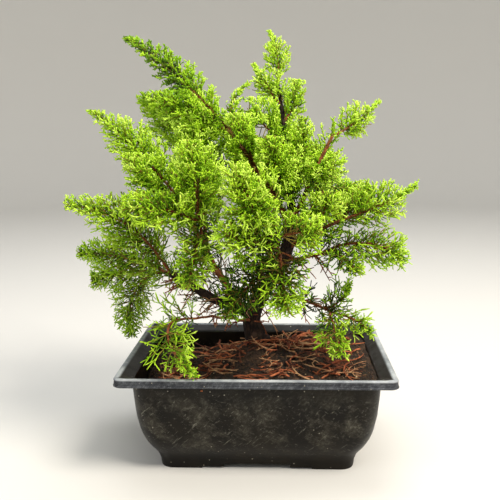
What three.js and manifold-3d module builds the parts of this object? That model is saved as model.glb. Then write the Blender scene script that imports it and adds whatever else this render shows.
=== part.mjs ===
// A young juniper grown as a bonsai, standing in its rectangular plastic training pot.
// Millimetres, +Z up.  The pot's long side runs along X and its front faces -Y.
// The tree is worked out about the middle of the pot at table level, and the finished
// group is then moved so that the middle of the whole part's box stands on the origin.
import * as THREE from "three";
import { mergeVertices } from "three/addons/utils/BufferGeometryUtils.js";
import Module from "manifold-3d";

const wasm = await Module();
wasm.setup();

// ---------------------------------------------------------------- driving dimensions
const FIT_GAP = 0.3; // clearance between two pieces that touch on the real plant
const SLIVER = 0.04; // edges shorter than this, left by a cut, are closed up
const POT = {
  halfLength: 105, // to the outside of the rim
  halfWidth: 80,
  height: 82,
  wall: 2.5,
  floor: 7.5, // inside floor above the table
  arcSteps: 3, // facets in each rounded corner
};
// Outside of the pot's wall: height, how far it lies inside the rim, and corner radius.
const POT_WALL = [
  [0, 29, 11],
  [6, 28.2, 11],
  [11, 26.4, 12],
  [18, 21.6, 14],
  [26, 17.4, 15],
  [35, 14.4, 16],
  [46, 12.4, 16],
  [75.3, 10, 16],
];
// And of its rim, from the underside up over the flat lip and down the inner slope.
const POT_RIM = [
  [75.3, 0.5, 6],
  [76.3, 0, 6],
  [80.8, 0, 6],
  [82, 1, 6],
  [82, 4, 6],
  [76.5, 12.5, 13],
];
const FEET = {
  archHalf: [26, 17], // half length of the high middle of each base edge, long and short side
  archHeight: 4,
  stepHalf: [43, 28], // and of the shallow step beside it
  stepHeight: 1.5,
};
const SOIL = {
  left: 63, // soil level by the left wall
  right: 77,
  slope: [-75, 45], // where along X the level begins and ends its rise
  slopeTurn: 0.25, // the rise comes later towards the back
  mound: 81, // where it is heaped round the trunk
  moundMiddle: [4, 14],
  moundTop: 8, // distances from its middle
  moundReach: 42,
  clods: [0.9, 0.5], // heights of the long and the short unevenness
  seatRadius: 16, // flat ground that the trunk stands on
  wallMost: 75.5, // the soil stays this low where it meets the pot
  brimDrop: 1.5, // and lies this far under the soil beside it
  slack: 0.4, // between the soil's sides and the pot's wall
  extraPoints: [4, 2], // along each straight side, long and short
  rings: [0.06, 0.25, 0.45, 0.65, 0.85], // from the brim to the seat
};
const TRUNK = {
  foot: 80, // ground level at the trunk
  flare: 0.42, // extra radius at the foot
  flareHeight: 7,
  roots: 5,
  rootRelief: 0.3, // share of the flare that comes and goes between the roots
  rootTurn: 0.6,
  sides: 10,
  steps: 16,
};
const BOUGH = {
  collar: 0.25, // extra radius where it leaves its parent
  collarFade: 14,
  thick: 3, // root radius above which a bough gets the greater number of sides
  sides: [8, 6],
  steps: 6,
};
const SHOOT = {
  thickness: 1.9, // of one spray at its heart
  rootDepth: 0.6, // a spray begins this far behind its root's place
  lengths: [1, 0.8, 0.62], // shares of its full length tried where space is tight
  range: [0.14, 0.97], // part of the stem that carries sprays
  lean: [66, 34], // degrees from the stem, first and last spray
  leanSpread: 12,
  turnSpread: 40,
  turnPerMass: 70,
  reach: [1.35, 1.75], // length as a share of the mass's spread
  tipFrom: 0.86, // the last spray runs on from here along the stem
  tipReach: 0.9,
  stemRadius: 1.8, // of a mass's own stem where it leaves its bough
  stemTaper: 0.35,
  stemSides: 3,
  stemSteps: 5,
  spacing: 11, // between sprays along the stem of a dense mass
  openSpacing: 4.5, // and of an open one
  fewest: 7, // sprays on the shortest stem
  goldenAngle: 137.5, // each spray stands this far round from the one before
  clearOfLimb: 1.2,
  clearOfMass: 1.4, // half the space left between two masses
  clearOfPot: 1.5,
};
const CORE = {
  sides: 8,
  steps: 5,
  from: 0.08, // where along its stem a core begins and ends
  to: 0.93,
  point: 1.3, // radius of its points and of the hollows between them
  hollow: 0.75,
  lean: 0.5, // how far a point leans forward
  least: 0.2, // share of its radius that a corner keeps where space is tight
  sunk: 0.45, // share of the core's radius below which a spray's root lies
  stemEnd: 0.3, // share of the stem that is drawn where a core hides the rest
  stemSteps: 2,
};
const YOUNG_ABOVE = 200; // masses whose tips stand higher than this are a brighter green

// The trunk from its foot to the place where the top mass takes over: place, radius.
const TRUNK_LINE = [
  [-2, 25, 80, 8.0],
  [-6, 24, 101, 7.2],
  [3, 20, 125, 6.8],
  [20, 12, 153, 6.3],
  [28, 7, 185, 4.4],
  [24, 3, 230, 2.6],
  [22, 9, 262, 1.9],
  [17, 34, 298, 1.2],
];

// Boughs: which limb each leaves and how far along it, the place of its tip, how far its
// middle bows away from the straight line, and its radius at both ends.
const BOUGHS = [
  ["low_left_bough", "trunk", 0.11, [-71, -5, 146], [0, 0, -2], 5.2, 2.6],
  ["left_bough", "low_left_bough", 0.12, [-58, -18, 205], [-2, 0, -3], 3.3, 1.6],
  ["left_leader", "trunk", 0.48, [-24, 3, 264], [0, -8, 3], 2.8, 1.6],
  ["right_high_bough", "trunk", 0.5, [60, 3, 256], [0, -4, 0], 2.2, 1.2],
  ["right_bough", "trunk", 0.4, [66, -14, 191], [0, 0, 0], 2.6, 1.4],
  ["right_low_bough", "trunk", 0.35, [63, -14, 170], [0, -3, -2], 2.0, 1.2],
  ["low_right_twig", "trunk", 0.2, [60, -26, 119], [0, 0, 4], 1.6, 1.0],
  ["low_front_twig", "trunk", 0.08, [-61, -60, 122], [6, -6, 4], 1.3, 0.8],
  ["low_back_twig", "low_left_bough", 0.78, [-92, 32, 139], [2, 4, 4], 1.7, 1.0],
  ["front_bough", "trunk", 0.33, [10, -45, 186], [3, -4, -4], 2.1, 1.2],
  ["front_left_bough", "left_bough", 0.5, [-42, -42, 193], [0, -4, 0], 1.7, 1.0],
  ["back_bough", "trunk", 0.28, [4, 72, 190], [0, 6, -6], 2.3, 1.2],
  ["back_right_bough", "trunk", 0.44, [58, 52, 214], [0, 4, -4], 2.1, 1.1],
  ["back_left_bough", "left_bough", 0.62, [-58, 44, 240], [4, 6, -4], 1.8, 1.0],
];

// Foliage masses: the limb each grows from and how far along it, the furthest tip of its
// stem, the stem's bow, the reach of its side shoots, and for a dense mass the share of
// that reach which its core fills.
const MASSES = [
  ["leader_tip", "left_leader", 1, [-122, 79, 345], [2, -12, 4], 12, 0.42],
  ["leader_left", "left_leader", 0.92, [-89, 2, 287], [0, -4, 4], 20, 0.55],
  ["leader_sprig", "left_leader", 0.86, [-7, 14, 298], [-9, 0, 3], 10, 0],
  ["leader_inner", "left_leader", 0.55, [-16, -28, 268], [2, -6, 0], 21, 0.6],
  ["leader_back", "back_left_bough", 1, [-105, 78, 290], [0, 0, 4], 18, 0.55],
  ["shoulder", "left_bough", 1, [-131, -10, 279], [0, -3, 4], 17, 0.55],
  ["shoulder_front", "left_bough", 0.9, [-93, -45, 241], [0, -5, -1], 18, 0.6],
  ["left_upright", "left_bough", 0.78, [-48, 0, 286], [2, 2, 0], 22, 0.6],
  ["left_tip", "low_left_bough", 1, [-145, -49, 207], [10, -6, 13], 21, 0.5],
  ["left_low", "low_left_bough", 0.94, [-153, 12, 160], [0, 4, 5], 18, 0.5],
  ["left_under", "low_back_twig", 0.8, [-146, 34, 131], [0, 0, 5], 16, 0.5],
  ["left_hanging", "low_back_twig", 1, [-121, 68, 72], [-5, 0, 8], 16, 0.42],
  ["front_left", "front_left_bough", 1, [-92, -68, 206], [0, -6, 3], 20, 0.6],
  ["front_left_upright", "front_left_bough", 0.88, [-44, -62, 249], [0, -6, 0], 24, 0.6],
  ["front_left_hanging", "front_left_bough", 0.7, [-46, -80, 152], [0, -8, 6], 16, 0.42],
  ["front_middle", "front_bough", 1, [-12, -88, 231], [0, -6, 0], 23, 0.6],
  ["front_inner", "front_bough", 0.75, [-20, -86, 190], [0, -6, 0], 19, 0.6],
  ["front_right", "front_bough", 0.88, [46, -82, 192], [0, -6, 2], 20, 0.6],
  ["front_low", "front_bough", 0.45, [22, -74, 133], [0, -8, 8], 21, 0.5],
  ["front_low_left", "front_bough", 0.25, [-22, -58, 125], [0, -4, 6], 18, 0.35],
  ["middle_right", "trunk", 0.56, [10, -42, 254], [0, -6, -4], 21, 0.6],
  ["trunk_right", "trunk", 0.63, [36, -16, 270], [4, -3, -3], 13, 0.55],
  ["trunk_left", "trunk", 0.76, [-9, 3, 282], [0, -3, -2], 16, 0.6],
  ["trunk_upper_right", "trunk", 0.84, [32, 20, 300], [3, 0, -2], 11, 0.42],
  ["trunk_upper_left", "trunk", 0.91, [-3, 32, 314], [0, 0, -2], 12, 0.42],
  ["trunk_back", "trunk", 0.72, [14, 60, 272], [0, 6, -5], 17, 0.6],
  ["top", "trunk", 1, [9, 72, 346], [3, -4, 1], 11, 0.42],
  ["right_high", "right_high_bough", 1, [98, 18, 283], [0, 0, -5], 13, 0.5],
  ["right_high_front", "right_high_bough", 0.55, [57, -33, 233], [0, -4, 0], 17, 0.6],
  ["right_inner", "right_bough", 0.4, [55, -50, 214], [0, -5, -3], 18, 0.6],
  ["right_tip", "right_bough", 1, [122, -22, 218], [0, 0, -3], 21, 0.55],
  ["right_upright", "right_bough", 0.78, [88, -10, 214], [2, 2, -2], 13, 0.55],
  ["right_low", "right_low_bough", 1, [111, -32, 163], [0, 0, 5], 21, 0.5],
  ["right_under", "right_low_bough", 0.85, [76, -42, 155], [0, -3, 3], 14, 0.42],
  ["low_right", "low_right_twig", 1, [87, -46, 108], [0, 0, 4], 14, 0],
  ["low_right_sprig", "low_right_twig", 0.86, [71, -34, 143], [2, -2, -4], 12, 0],
  ["low_right_hanging", "low_right_twig", 0.94, [62, -63, 98], [0, -4, 5], 13, 0],
  ["low_front_sprig", "low_front_twig", 1, [-44, -78, 84], [-6, -6, 6], 16, 0],
  ["back_middle", "back_bough", 1, [0, 110, 214], [0, 0, -4], 25, 0.6],
  ["back_high", "back_bough", 0.72, [-14, 72, 256], [0, 8, -4], 23, 0.6],
  ["back_right", "back_right_bough", 1, [88, 84, 197], [0, 0, -4], 21, 0.6],
  ["back_right_high", "back_right_bough", 0.75, [48, 60, 246], [0, 6, -4], 18, 0.6],
  ["back_left", "back_left_bough", 0.6, [-62, 88, 216], [0, 6, -2], 23, 0.6],
];

// ---------------------------------------------------------------- small tools
const radians = (degrees) => (degrees * Math.PI) / 180;
const mix = (a, b, t) => a + (b - a) * t;
const vector = (p) => new THREE.Vector3(p[0], p[1], p[2]);

function smoothstep(from, to, x) {
  const t = Math.min(1, Math.max(0, (x - from) / (to - from)));
  return t * t * (3 - 2 * t);
}

// A repeatable row of numbers from 0 to 1, one row for each seed.
function seededRow(seed) {
  let state = (seed * 2654435761) >>> 0;
  return () => {
    state = (state + 0x6d2b79f5) >>> 0;
    let t = state;
    t = Math.imul(t ^ (t >>> 15), t | 1);
    t ^= t + Math.imul(t ^ (t >>> 7), t | 61);
    return ((t ^ (t >>> 14)) >>> 0) / 4294967296;
  };
}

// Closed skin through equal rings, each end capped by a fan.  Rings run anticlockwise
// seen from the end that the loft runs towards.
function loft(rings) {
  const sides = rings[0].length;
  const positions = rings.flat().flatMap((p) => [p.x, p.y, p.z]);
  const index = [];
  for (let r = 0; r + 1 < rings.length; r++) {
    for (let s = 0; s < sides; s++) {
      const a = r * sides + s;
      const b = r * sides + ((s + 1) % sides);
      index.push(a, b, b + sides, a, b + sides, a + sides);
    }
  }
  const last = (rings.length - 1) * sides;
  for (let s = 1; s + 1 < sides; s++) {
    index.push(0, s + 1, s);
    index.push(last, last + s, last + s + 1);
  }
  const geometry = new THREE.BufferGeometry();
  geometry.setAttribute("position", new THREE.Float32BufferAttribute(positions, 3));
  geometry.setIndex(index);
  return geometry;
}

function toManifold(geometry) {
  const bare = geometry.clone();
  bare.deleteAttribute("normal");
  bare.deleteAttribute("uv");
  const merged = mergeVertices(bare, 1e-5);
  return new wasm.Manifold(
    new wasm.Mesh({
      numProp: 3,
      vertProperties: new Float32Array(merged.getAttribute("position").array),
      triVerts: new Uint32Array(merged.index.array),
    })
  );
}

function toGeometry(manifold) {
  const mesh = manifold.simplify(SLIVER).getMesh();
  const geometry = new THREE.BufferGeometry();
  geometry.setAttribute("position", new THREE.Float32BufferAttribute(mesh.vertProperties, 3));
  geometry.setIndex(Array.from(mesh.triVerts));
  return geometry;
}

// Whether two solids' boxes overlap, so that only near neighbours are cut or tested.
function near(a, b) {
  const [boxA, boxB] = [a.boundingBox(), b.boundingBox()];
  return [0, 1, 2].every((k) => boxA.min[k] < boxB.max[k] && boxB.min[k] < boxA.max[k]);
}

function cutClear(solid, others) {
  return others.reduce((left, other) => (near(left, other) ? left.subtract(other) : left), solid);
}

// The largest of the bodies that a cut leaves.
function largest(manifold) {
  const bodies = manifold.decompose();
  return bodies.reduce((best, body) => (body.volume() > best.volume() ? body : best));
}

// ---------------------------------------------------------------- limbs
// The straight line from a limb's start to its tip, bowed in its middle.
function bowedCurve(start, tip, bow) {
  const middle = start.clone().add(tip).multiplyScalar(0.5);
  middle.addScaledVector(vector(bow), 2);
  return new THREE.QuadraticBezierCurve3(start, middle, tip);
}

// A tapering limb of round or three-sided section along a curve, or along its first part.
function limbGeometry(curve, radiusAt, sides, steps, grow = 0, end = 1) {
  const rings = [];
  const side = new THREE.Vector3(0, 1, 0);
  for (let i = 0; i <= steps; i++) {
    const t = (end * i) / steps;
    const place = curve.getPointAt(t);
    const ahead = curve.getTangentAt(t);
    side.addScaledVector(ahead, -side.dot(ahead)).normalize();
    const across = new THREE.Vector3().crossVectors(ahead, side);
    const ring = [];
    for (let s = 0; s < sides; s++) {
      const angle = (2 * Math.PI * s) / sides;
      const radius = radiusAt(t, angle) + grow;
      ring.push(
        place
          .clone()
          .addScaledVector(side, radius * Math.cos(angle))
          .addScaledVector(across, radius * Math.sin(angle))
      );
    }
    rings.push(ring);
  }
  return loft(rings);
}

function makeTrunk() {
  const curve = new THREE.CatmullRomCurve3(TRUNK_LINE.map(vector), false, "centripetal");
  const radii = TRUNK_LINE.map((row) => row[3]);
  const radiusAt = (t, angle) => {
    const along = curve.getUtoTmapping(t) * (radii.length - 1);
    const i = Math.min(radii.length - 2, Math.floor(along));
    const height = curve.getPointAt(t).z - TRUNK.foot;
    const roots = 1 + TRUNK.rootRelief * Math.cos(TRUNK.roots * angle + TRUNK.rootTurn);
    const flare = 1 + TRUNK.flare * roots * Math.exp(-height / TRUNK.flareHeight);
    return mix(radii[i], radii[i + 1], along - i) * flare;
  };
  const flatFoot = (geometry) => {
    const position = geometry.getAttribute("position");
    for (let i = 0; i < TRUNK.sides; i++) position.setZ(i, TRUNK.foot);
    return geometry;
  };
  const { sides, steps } = TRUNK;
  return {
    name: "trunk",
    curve,
    radiusAt,
    geometry: flatFoot(limbGeometry(curve, radiusAt, sides, steps)),
    grown: toManifold(limbGeometry(curve, radiusAt, sides, steps, FIT_GAP)),
  };
}

// A bough starts on its parent's middle line and is cut clear of every limb before it.
function makeBough([name, parentName, along, tip, bow, rootRadius, tipRadius], limbs) {
  const parent = limbs.find((limb) => limb.name === parentName);
  const curve = bowedCurve(parent.curve.getPointAt(along), vector(tip), bow);
  const collarAt = (t) => 1 + BOUGH.collar * Math.exp(-t * BOUGH.collarFade);
  const radiusAt = (t) => mix(rootRadius, tipRadius, t) * collarAt(t);
  const sides = BOUGH.sides[rootRadius > BOUGH.thick ? 0 : 1];
  const { steps } = BOUGH;
  let solid = toManifold(limbGeometry(curve, radiusAt, sides, steps));
  solid = cutClear(solid, limbs.map((limb) => limb.grown));
  return {
    name,
    curve,
    radiusAt,
    geometry: toGeometry(largest(solid)),
    grown: toManifold(limbGeometry(curve, radiusAt, sides, steps, FIT_GAP)),
  };
}

// ---------------------------------------------------------------- foliage masses
// Points along a limb's or a stem's middle line, for measuring distances to it.
function lineSamples(curve, radiusAt, count) {
  const samples = [];
  for (let i = 0; i <= count; i++) {
    const t = i / count;
    samples.push({ place: curve.getPointAt(t), radius: radiusAt(t, 0) });
  }
  return samples;
}

function distanceToLine(point, samples) {
  let best = Infinity;
  const span = new THREE.Vector3();
  const reach = new THREE.Vector3();
  for (let i = 0; i + 1 < samples.length; i++) {
    span.subVectors(samples[i + 1].place, samples[i].place);
    reach.subVectors(point, samples[i].place);
    const t = Math.min(1, Math.max(0, reach.dot(span) / span.lengthSq()));
    const radius = mix(samples[i].radius, samples[i + 1].radius, t);
    best = Math.min(best, reach.addScaledVector(span, -t).length() - radius);
  }
  return best;
}

function stemOf([name, parentName, along, tip, bow, spread, core], limbs) {
  const parent = limbs.find((limb) => limb.name === parentName);
  const start = parent.curve.getPointAt(along);
  if (along === 1) start.addScaledVector(parent.curve.getTangentAt(1), FIT_GAP);
  const curve = bowedCurve(start, vector(tip), bow);
  const radiusAt = (t) => SHOOT.stemRadius * mix(1, SHOOT.stemTaper, t);
  const { stemSides, stemSteps } = SHOOT;
  const drawn = core ? CORE.stemEnd : 1;
  const steps = core ? CORE.stemSteps : stemSteps;
  return {
    name,
    spread,
    core,
    curve,
    samples: lineSamples(curve, () => 0, 10),
    solid: toManifold(limbGeometry(curve, radiusAt, stemSides, steps, 0, drawn)),
    grown: toManifold(limbGeometry(curve, radiusAt, stemSides, stemSteps, 2 * FIT_GAP)),
  };
}

// Outline of one flat spray of unit length, anticlockwise from its root: a branchlet on
// each side, pointing forward, and a tip.  It is thickest at its heart and sharp all round.
const SPRAY_OUTLINE = [
  [0, 0],
  [0.5, -0.3],
  [0.62, -0.08],
  [1, 0],
  [0.74, 0.08],
  [0.68, 0.32],
];
const SPRAY_HEART = 0.46;

function sprayGeometry(length) {
  const start = -SHOOT.rootDepth;
  const onAxis = (x) => mix(start, length, x);
  const positions = SPRAY_OUTLINE.flatMap(([x, y]) => [onAxis(x), y * length, 0]);
  const count = SPRAY_OUTLINE.length;
  for (const side of [1, -1]) positions.push(onAxis(SPRAY_HEART), 0, (side * SHOOT.thickness) / 2);
  const index = [];
  for (let i = 0; i < count; i++) {
    const next = (i + 1) % count;
    index.push(count, i, next, count + 1, next, i);
  }
  const geometry = new THREE.BufferGeometry();
  geometry.setAttribute("position", new THREE.Float32BufferAttribute(positions, 3));
  geometry.setIndex(index);
  return geometry;
}

// Radius of a dense mass's core at one place along its stem, none past its two ends.
function coreRadius(stem, t) {
  const along = (t - CORE.from) / (CORE.to - CORE.from);
  if (along < 0 || along > 1) return 0;
  return stem.spread * stem.core * Math.sin(Math.PI * mix(0.1, 0.95, along ** 0.8));
}

// How far the side shoots reach along a plume: full in its lower part, short at its tip.
function plumeReach(t) {
  return mix(0.62, 1, smoothstep(0, 0.35, t)) * mix(1, 0.32, smoothstep(0.4, 1, t));
}

// The sprays of one mass: their roots on the stem, and which way each points.
function* shootsOf(stem, seed) {
  const random = seededRow(seed);
  const spacing = stem.core ? SHOOT.spacing : SHOOT.openSpacing;
  const count = Math.max(SHOOT.fewest, Math.round(stem.curve.getLength() / spacing));
  for (let i = 0; i < count; i++) {
    const part = i / (count - 1);
    const t = mix(...SHOOT.range, part);
    const ahead = stem.curve.getTangentAt(t);
    const side = new THREE.Vector3(0, 0, 1).cross(ahead).normalize();
    const spin = SHOOT.turnSpread * random() + SHOOT.turnPerMass * seed;
    const turn = radians(SHOOT.goldenAngle * i + spin);
    const lean = radians(mix(...SHOOT.lean, t) + SHOOT.leanSpread * (random() - 0.5));
    const out = side.applyAxisAngle(ahead, turn);
    const heading = ahead.clone().multiplyScalar(Math.cos(lean));
    heading.addScaledVector(out, Math.sin(lean)).normalize();
    const sunk = CORE.sunk * coreRadius(stem, t);
    const length = stem.spread * plumeReach(t) * mix(...SHOOT.reach, random()) - sunk;
    const roll = 2 * Math.PI * random();
    const root = stem.curve.getPointAt(t).addScaledVector(heading, sunk);
    yield { root, heading, length, roll };
  }
  const root = stem.curve.getPointAt(SHOOT.tipFrom);
  const heading = stem.curve.getTangentAt(1);
  yield { root, heading, length: stem.spread * SHOOT.tipReach, roll: seed };
}

function placed(geometry, shoot) {
  const steep = Math.abs(shoot.heading.z) > 0.9;
  const up = new THREE.Vector3(0, steep ? 1 : 0, steep ? 0 : 1);
  const across = up.cross(shoot.heading).normalize().applyAxisAngle(shoot.heading, shoot.roll);
  const normal = new THREE.Vector3().crossVectors(shoot.heading, across);
  const matrix = new THREE.Matrix4().makeBasis(shoot.heading, across, normal);
  return geometry.applyMatrix4(matrix.setPosition(shoot.root));
}

// Whether a point may be filled by one mass: nearer its own stem than any other, clear
// of every limb, and above the soil and the rim.
function isFree(point, stem, stems, limbs) {
  const own = distanceToLine(point, stem.samples);
  for (const other of stems) {
    if (other !== stem && distanceToLine(point, other.samples) < own + 2 * SHOOT.clearOfMass) {
      return false;
    }
  }
  for (const limb of limbs) {
    if (distanceToLine(point, limb.samples) < SHOOT.clearOfLimb + SHOOT.thickness / 2) return false;
  }
  const margin = 2 * SHOOT.clearOfPot;
  const overX = Math.abs(point.x) < POT.halfLength + margin;
  const overY = Math.abs(point.y) < POT.halfWidth + margin;
  return !(overX && overY) || point.z > POT.height + SHOOT.clearOfPot;
}

// Places on a spray's outline that have to lie in free space: its corners past the root,
// and the middle of each edge between them.
function outlinePoints(spray) {
  const position = spray.getAttribute("position");
  const corners = SPRAY_OUTLINE.map((_, i) => new THREE.Vector3().fromBufferAttribute(position, i));
  const past = corners.slice(1);
  const middles = past.slice(1).map((p, i) => p.clone().add(past[i]).multiplyScalar(0.5));
  return [...past, ...middles];
}

// One spray as long as its space allows, clear of every solid in its way, or nothing
// where even a short one would not fit.
function fittedSpray(shoot, stem, stems, limbs, inTheWay) {
  for (const part of SHOOT.lengths) {
    const spray = placed(sprayGeometry(shoot.length * part), shoot);
    if (!outlinePoints(spray).every((point) => isFree(point, stem, stems, limbs))) continue;
    const solid = toManifold(spray);
    const meets = (other) => near(other, solid) && !other.intersect(solid).isEmpty();
    if (!inTheWay.some(meets)) return solid;
  }
  return null;
}

// The core of a dense mass: a plume of short points that lean forward, in alternate rows,
// drawn in wherever it would leave the mass's own space.
function coreOf(stem, stems, limbs) {
  const { from, to, sides, steps } = CORE;
  const rings = [];
  for (let j = 0; j <= steps; j++) {
    const t = mix(from, to, j / steps);
    const middle = stem.curve.getPointAt(t);
    const ahead = stem.curve.getTangentAt(t);
    const side = new THREE.Vector3(0, 0, 1).cross(ahead).normalize();
    const ring = [];
    for (let k = 0; k < sides; k++) {
      const isPoint = (j + k) % 2 === 0;
      const radius = coreRadius(stem, t) * (isPoint ? CORE.point : CORE.hollow);
      const out = side.clone().applyAxisAngle(ahead, (2 * Math.PI * k) / sides);
      const outer = middle.clone().addScaledVector(out, radius);
      if (isPoint) outer.addScaledVector(ahead, radius * CORE.lean);
      const place = outer.clone();
      for (let part = 1; part > CORE.least && !isFree(place, stem, stems, limbs); part -= 0.1) {
        place.lerpVectors(middle, outer, part);
      }
      ring.push(place);
    }
    rings.push(ring);
  }
  return toManifold(loft(rings));
}

// One mass: its stem, cut clear of the limbs and of the stems before it, its core if it
// is dense, and the sprays that fit round it.
function makeMass(stem, seed, stems, limbs, masses) {
  const grownLimbs = limbs.map((limb) => limb.grown);
  const earlier = stems.slice(0, stems.indexOf(stem)).map((other) => other.grown);
  let solid = largest(cutClear(stem.solid, [...grownLimbs, ...earlier]));
  const sprays = [];
  const others = stems.filter((other) => other !== stem).map((other) => other.grown);
  for (const shoot of shootsOf(stem, seed)) {
    const inTheWay = [...others, ...masses, ...sprays];
    const spray = fittedSpray(shoot, stem, stems, limbs, inTheWay);
    if (spray) sprays.push(spray);
  }
  if (stem.core > 0) {
    const core = coreOf(stem, stems, limbs);
    solid = solid.add(largest(cutClear(core, [...grownLimbs, ...others, ...masses])));
  }
  for (const spray of sprays) solid = solid.add(spray);
  return largest(solid);
}

// ---------------------------------------------------------------- pot
// A rounded rectangle, anticlockwise from above; extra points divide its straight sides.
function rectangleRing(halfX, halfY, corner, height, extraX = 0, extraY = 0) {
  const ring = [];
  const corners = [
    [1, 1, 0],
    [-1, 1, 90],
    [-1, -1, 180],
    [1, -1, 270],
  ];
  corners.forEach(([sx, sy, from], c) => {
    const centre = [sx * (halfX - corner), sy * (halfY - corner)];
    for (let i = 0; i <= POT.arcSteps; i++) {
      const angle = radians(from + (90 * i) / POT.arcSteps);
      ring.push([centre[0] + corner * Math.cos(angle), centre[1] + corner * Math.sin(angle)]);
    }
    const alongX = c % 2 === 0;
    const extra = alongX ? extraX : extraY;
    const [lastX, lastY] = ring[ring.length - 1];
    for (let i = 1; i <= extra; i++) {
      const t = i / (extra + 1);
      ring.push(alongX ? [mix(lastX, -lastX, t), lastY] : [lastX, mix(lastY, -lastY, t)]);
    }
  });
  return ring.map(([x, y]) => new THREE.Vector3(x, y, height));
}

function wallAt(height) {
  let i = 0;
  while (i + 2 < POT_WALL.length && POT_WALL[i + 1][0] < height) i++;
  const [z0, inset0, corner0] = POT_WALL[i];
  const [z1, inset1, corner1] = POT_WALL[i + 1];
  const t = (height - z0) / (z1 - z0);
  return { inset: mix(inset0, inset1, t), corner: mix(corner0, corner1, t) };
}

function potRing(inset, corner, height) {
  return rectangleRing(POT.halfLength - inset, POT.halfWidth - inset, corner, height);
}

function innerRing(height) {
  const { inset, corner } = wallAt(height);
  return potRing(inset + POT.wall, corner - POT.wall, height);
}

// Heights above the floor at which the wall's slope changes, from the lowest up.
function innerHeights() {
  const heights = POT_WALL.map(([height]) => height);
  return heights.filter((height) => height > POT.floor && height < POT_RIM[0][0]);
}

function box(halfX, halfY, height) {
  return toManifold(new THREE.BoxGeometry(2 * halfX, 2 * halfY, 2 * height));
}

// One shell: up the outside, round the rim, and down the inside to the floor.  The base
// edge is cut away between the four corner feet, high in the middle and in a low step.
function makePot() {
  const outside = [...POT_WALL, ...POT_RIM];
  const rings = [
    ...outside.map(([height, inset, corner]) => potRing(inset, corner, height)),
    ...innerHeights().reverse().map(innerRing),
    innerRing(POT.floor),
  ];
  let solid = toManifold(loft(rings));
  const far = POT.halfLength;
  for (const [halves, height] of [
    [FEET.archHalf, FEET.archHeight],
    [FEET.stepHalf, FEET.stepHeight],
  ]) {
    solid = solid.subtract(box(halves[0], far, height)).subtract(box(far, halves[1], height));
  }
  return toGeometry(solid);
}

// ---------------------------------------------------------------- soil
function soilHeight(x, y) {
  const rise = smoothstep(...SOIL.slope, x - SOIL.slopeTurn * y);
  const fromMiddle = Math.hypot(x - SOIL.moundMiddle[0], y - SOIL.moundMiddle[1]);
  const mound = smoothstep(SOIL.moundReach, SOIL.moundTop, fromMiddle);
  const long = SOIL.clods[0] * Math.sin(0.21 * x + 1) * Math.cos(0.17 * y);
  const short = SOIL.clods[1] * Math.sin(0.37 * (x + y));
  return mix(mix(SOIL.left, SOIL.right, rise), SOIL.mound, mound) + long + short;
}

function makeSoil() {
  const [trunkX, trunkY] = TRUNK_LINE[0];
  const edge = (height) => {
    const { inset, corner } = wallAt(height);
    const gap = POT.wall + SOIL.slack;
    const halfX = POT.halfLength - inset - gap;
    const halfY = POT.halfWidth - inset - gap;
    return rectangleRing(halfX, halfY, corner - gap, height, ...SOIL.extraPoints);
  };
  const brim = edge(SOIL.wallMost).map((p, i) => {
    const height = Math.min(SOIL.wallMost, soilHeight(p.x, p.y) - SOIL.brimDrop);
    return edge(height)[i];
  });
  const ground = TRUNK.foot - FIT_GAP;
  const seat = brim.map((p) => {
    const angle = Math.atan2(p.y - trunkY, p.x - trunkX);
    const x = trunkX + SOIL.seatRadius * Math.cos(angle);
    const y = trunkY + SOIL.seatRadius * Math.sin(angle);
    return new THREE.Vector3(x, y, ground);
  });
  const between = (t) =>
    brim.map((p, i) => {
      const x = mix(p.x, seat[i].x, t);
      const y = mix(p.y, seat[i].y, t);
      return new THREE.Vector3(x, y, soilHeight(x, y));
    });
  const rings = [
    ...[POT.floor + FIT_GAP, ...innerHeights()].map(edge),
    brim,
    ...SOIL.rings.map(between),
    seat,
  ];
  return loft(rings);
}

// ---------------------------------------------------------------- the part
const paint = (color, roughness) =>
  new THREE.MeshStandardMaterial({ color, roughness, metalness: 0 });
const BLACK_PLASTIC = paint("#343028", 0.55);
const POTTING_SOIL = paint("#4c3523", 0.95);
const BARK = paint("#4a3630", 0.9);
const TWIG_BARK = paint("#6e4a36", 0.85);
const YOUNG_GREEN = paint("#8fae2c", 0.6);
const DEEP_GREEN = paint("#6b8a24", 0.6);

const part = new THREE.Group();
function addPiece(name, geometry, material) {
  const mesh = new THREE.Mesh(geometry, material);
  mesh.name = name;
  part.add(mesh);
}

addPiece("pot", makePot(), BLACK_PLASTIC);
addPiece("soil", makeSoil(), POTTING_SOIL);

const limbs = [makeTrunk()];
for (const row of BOUGHS) limbs.push(makeBough(row, limbs));
for (const limb of limbs) {
  limb.samples = lineSamples(limb.curve, limb.radiusAt, 16);
  addPiece(limb.name, limb.geometry, limb.name === "trunk" ? BARK : TWIG_BARK);
}

const stems = MASSES.map((row) => stemOf(row, limbs));
const masses = [];
stems.forEach((stem, i) => {
  masses.push(makeMass(stem, i + 1, stems, limbs, masses));
  const material = stem.curve.getPoint(1).z > YOUNG_ABOVE ? YOUNG_GREEN : DEEP_GREEN;
  addPiece(stem.name, toGeometry(masses[i]), material);
});

const reach = new THREE.Box3().setFromObject(part, true);
const centre = reach.getCenter(new THREE.Vector3());
part.position.set(-centre.x, -centre.y, -reach.min.z);

export default part;
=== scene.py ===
"""A young juniper grown as a bonsai, standing in its rectangular plastic training pot.

The CAD frame gives the pot's place and the reach of the tree.  Sizes are in millimetres
about the middle of the pot at table level, and in_row() takes them to the row's metres.
"""
import math

import bpy
import numpy as np
from mathutils import Matrix, Vector, noise


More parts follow.
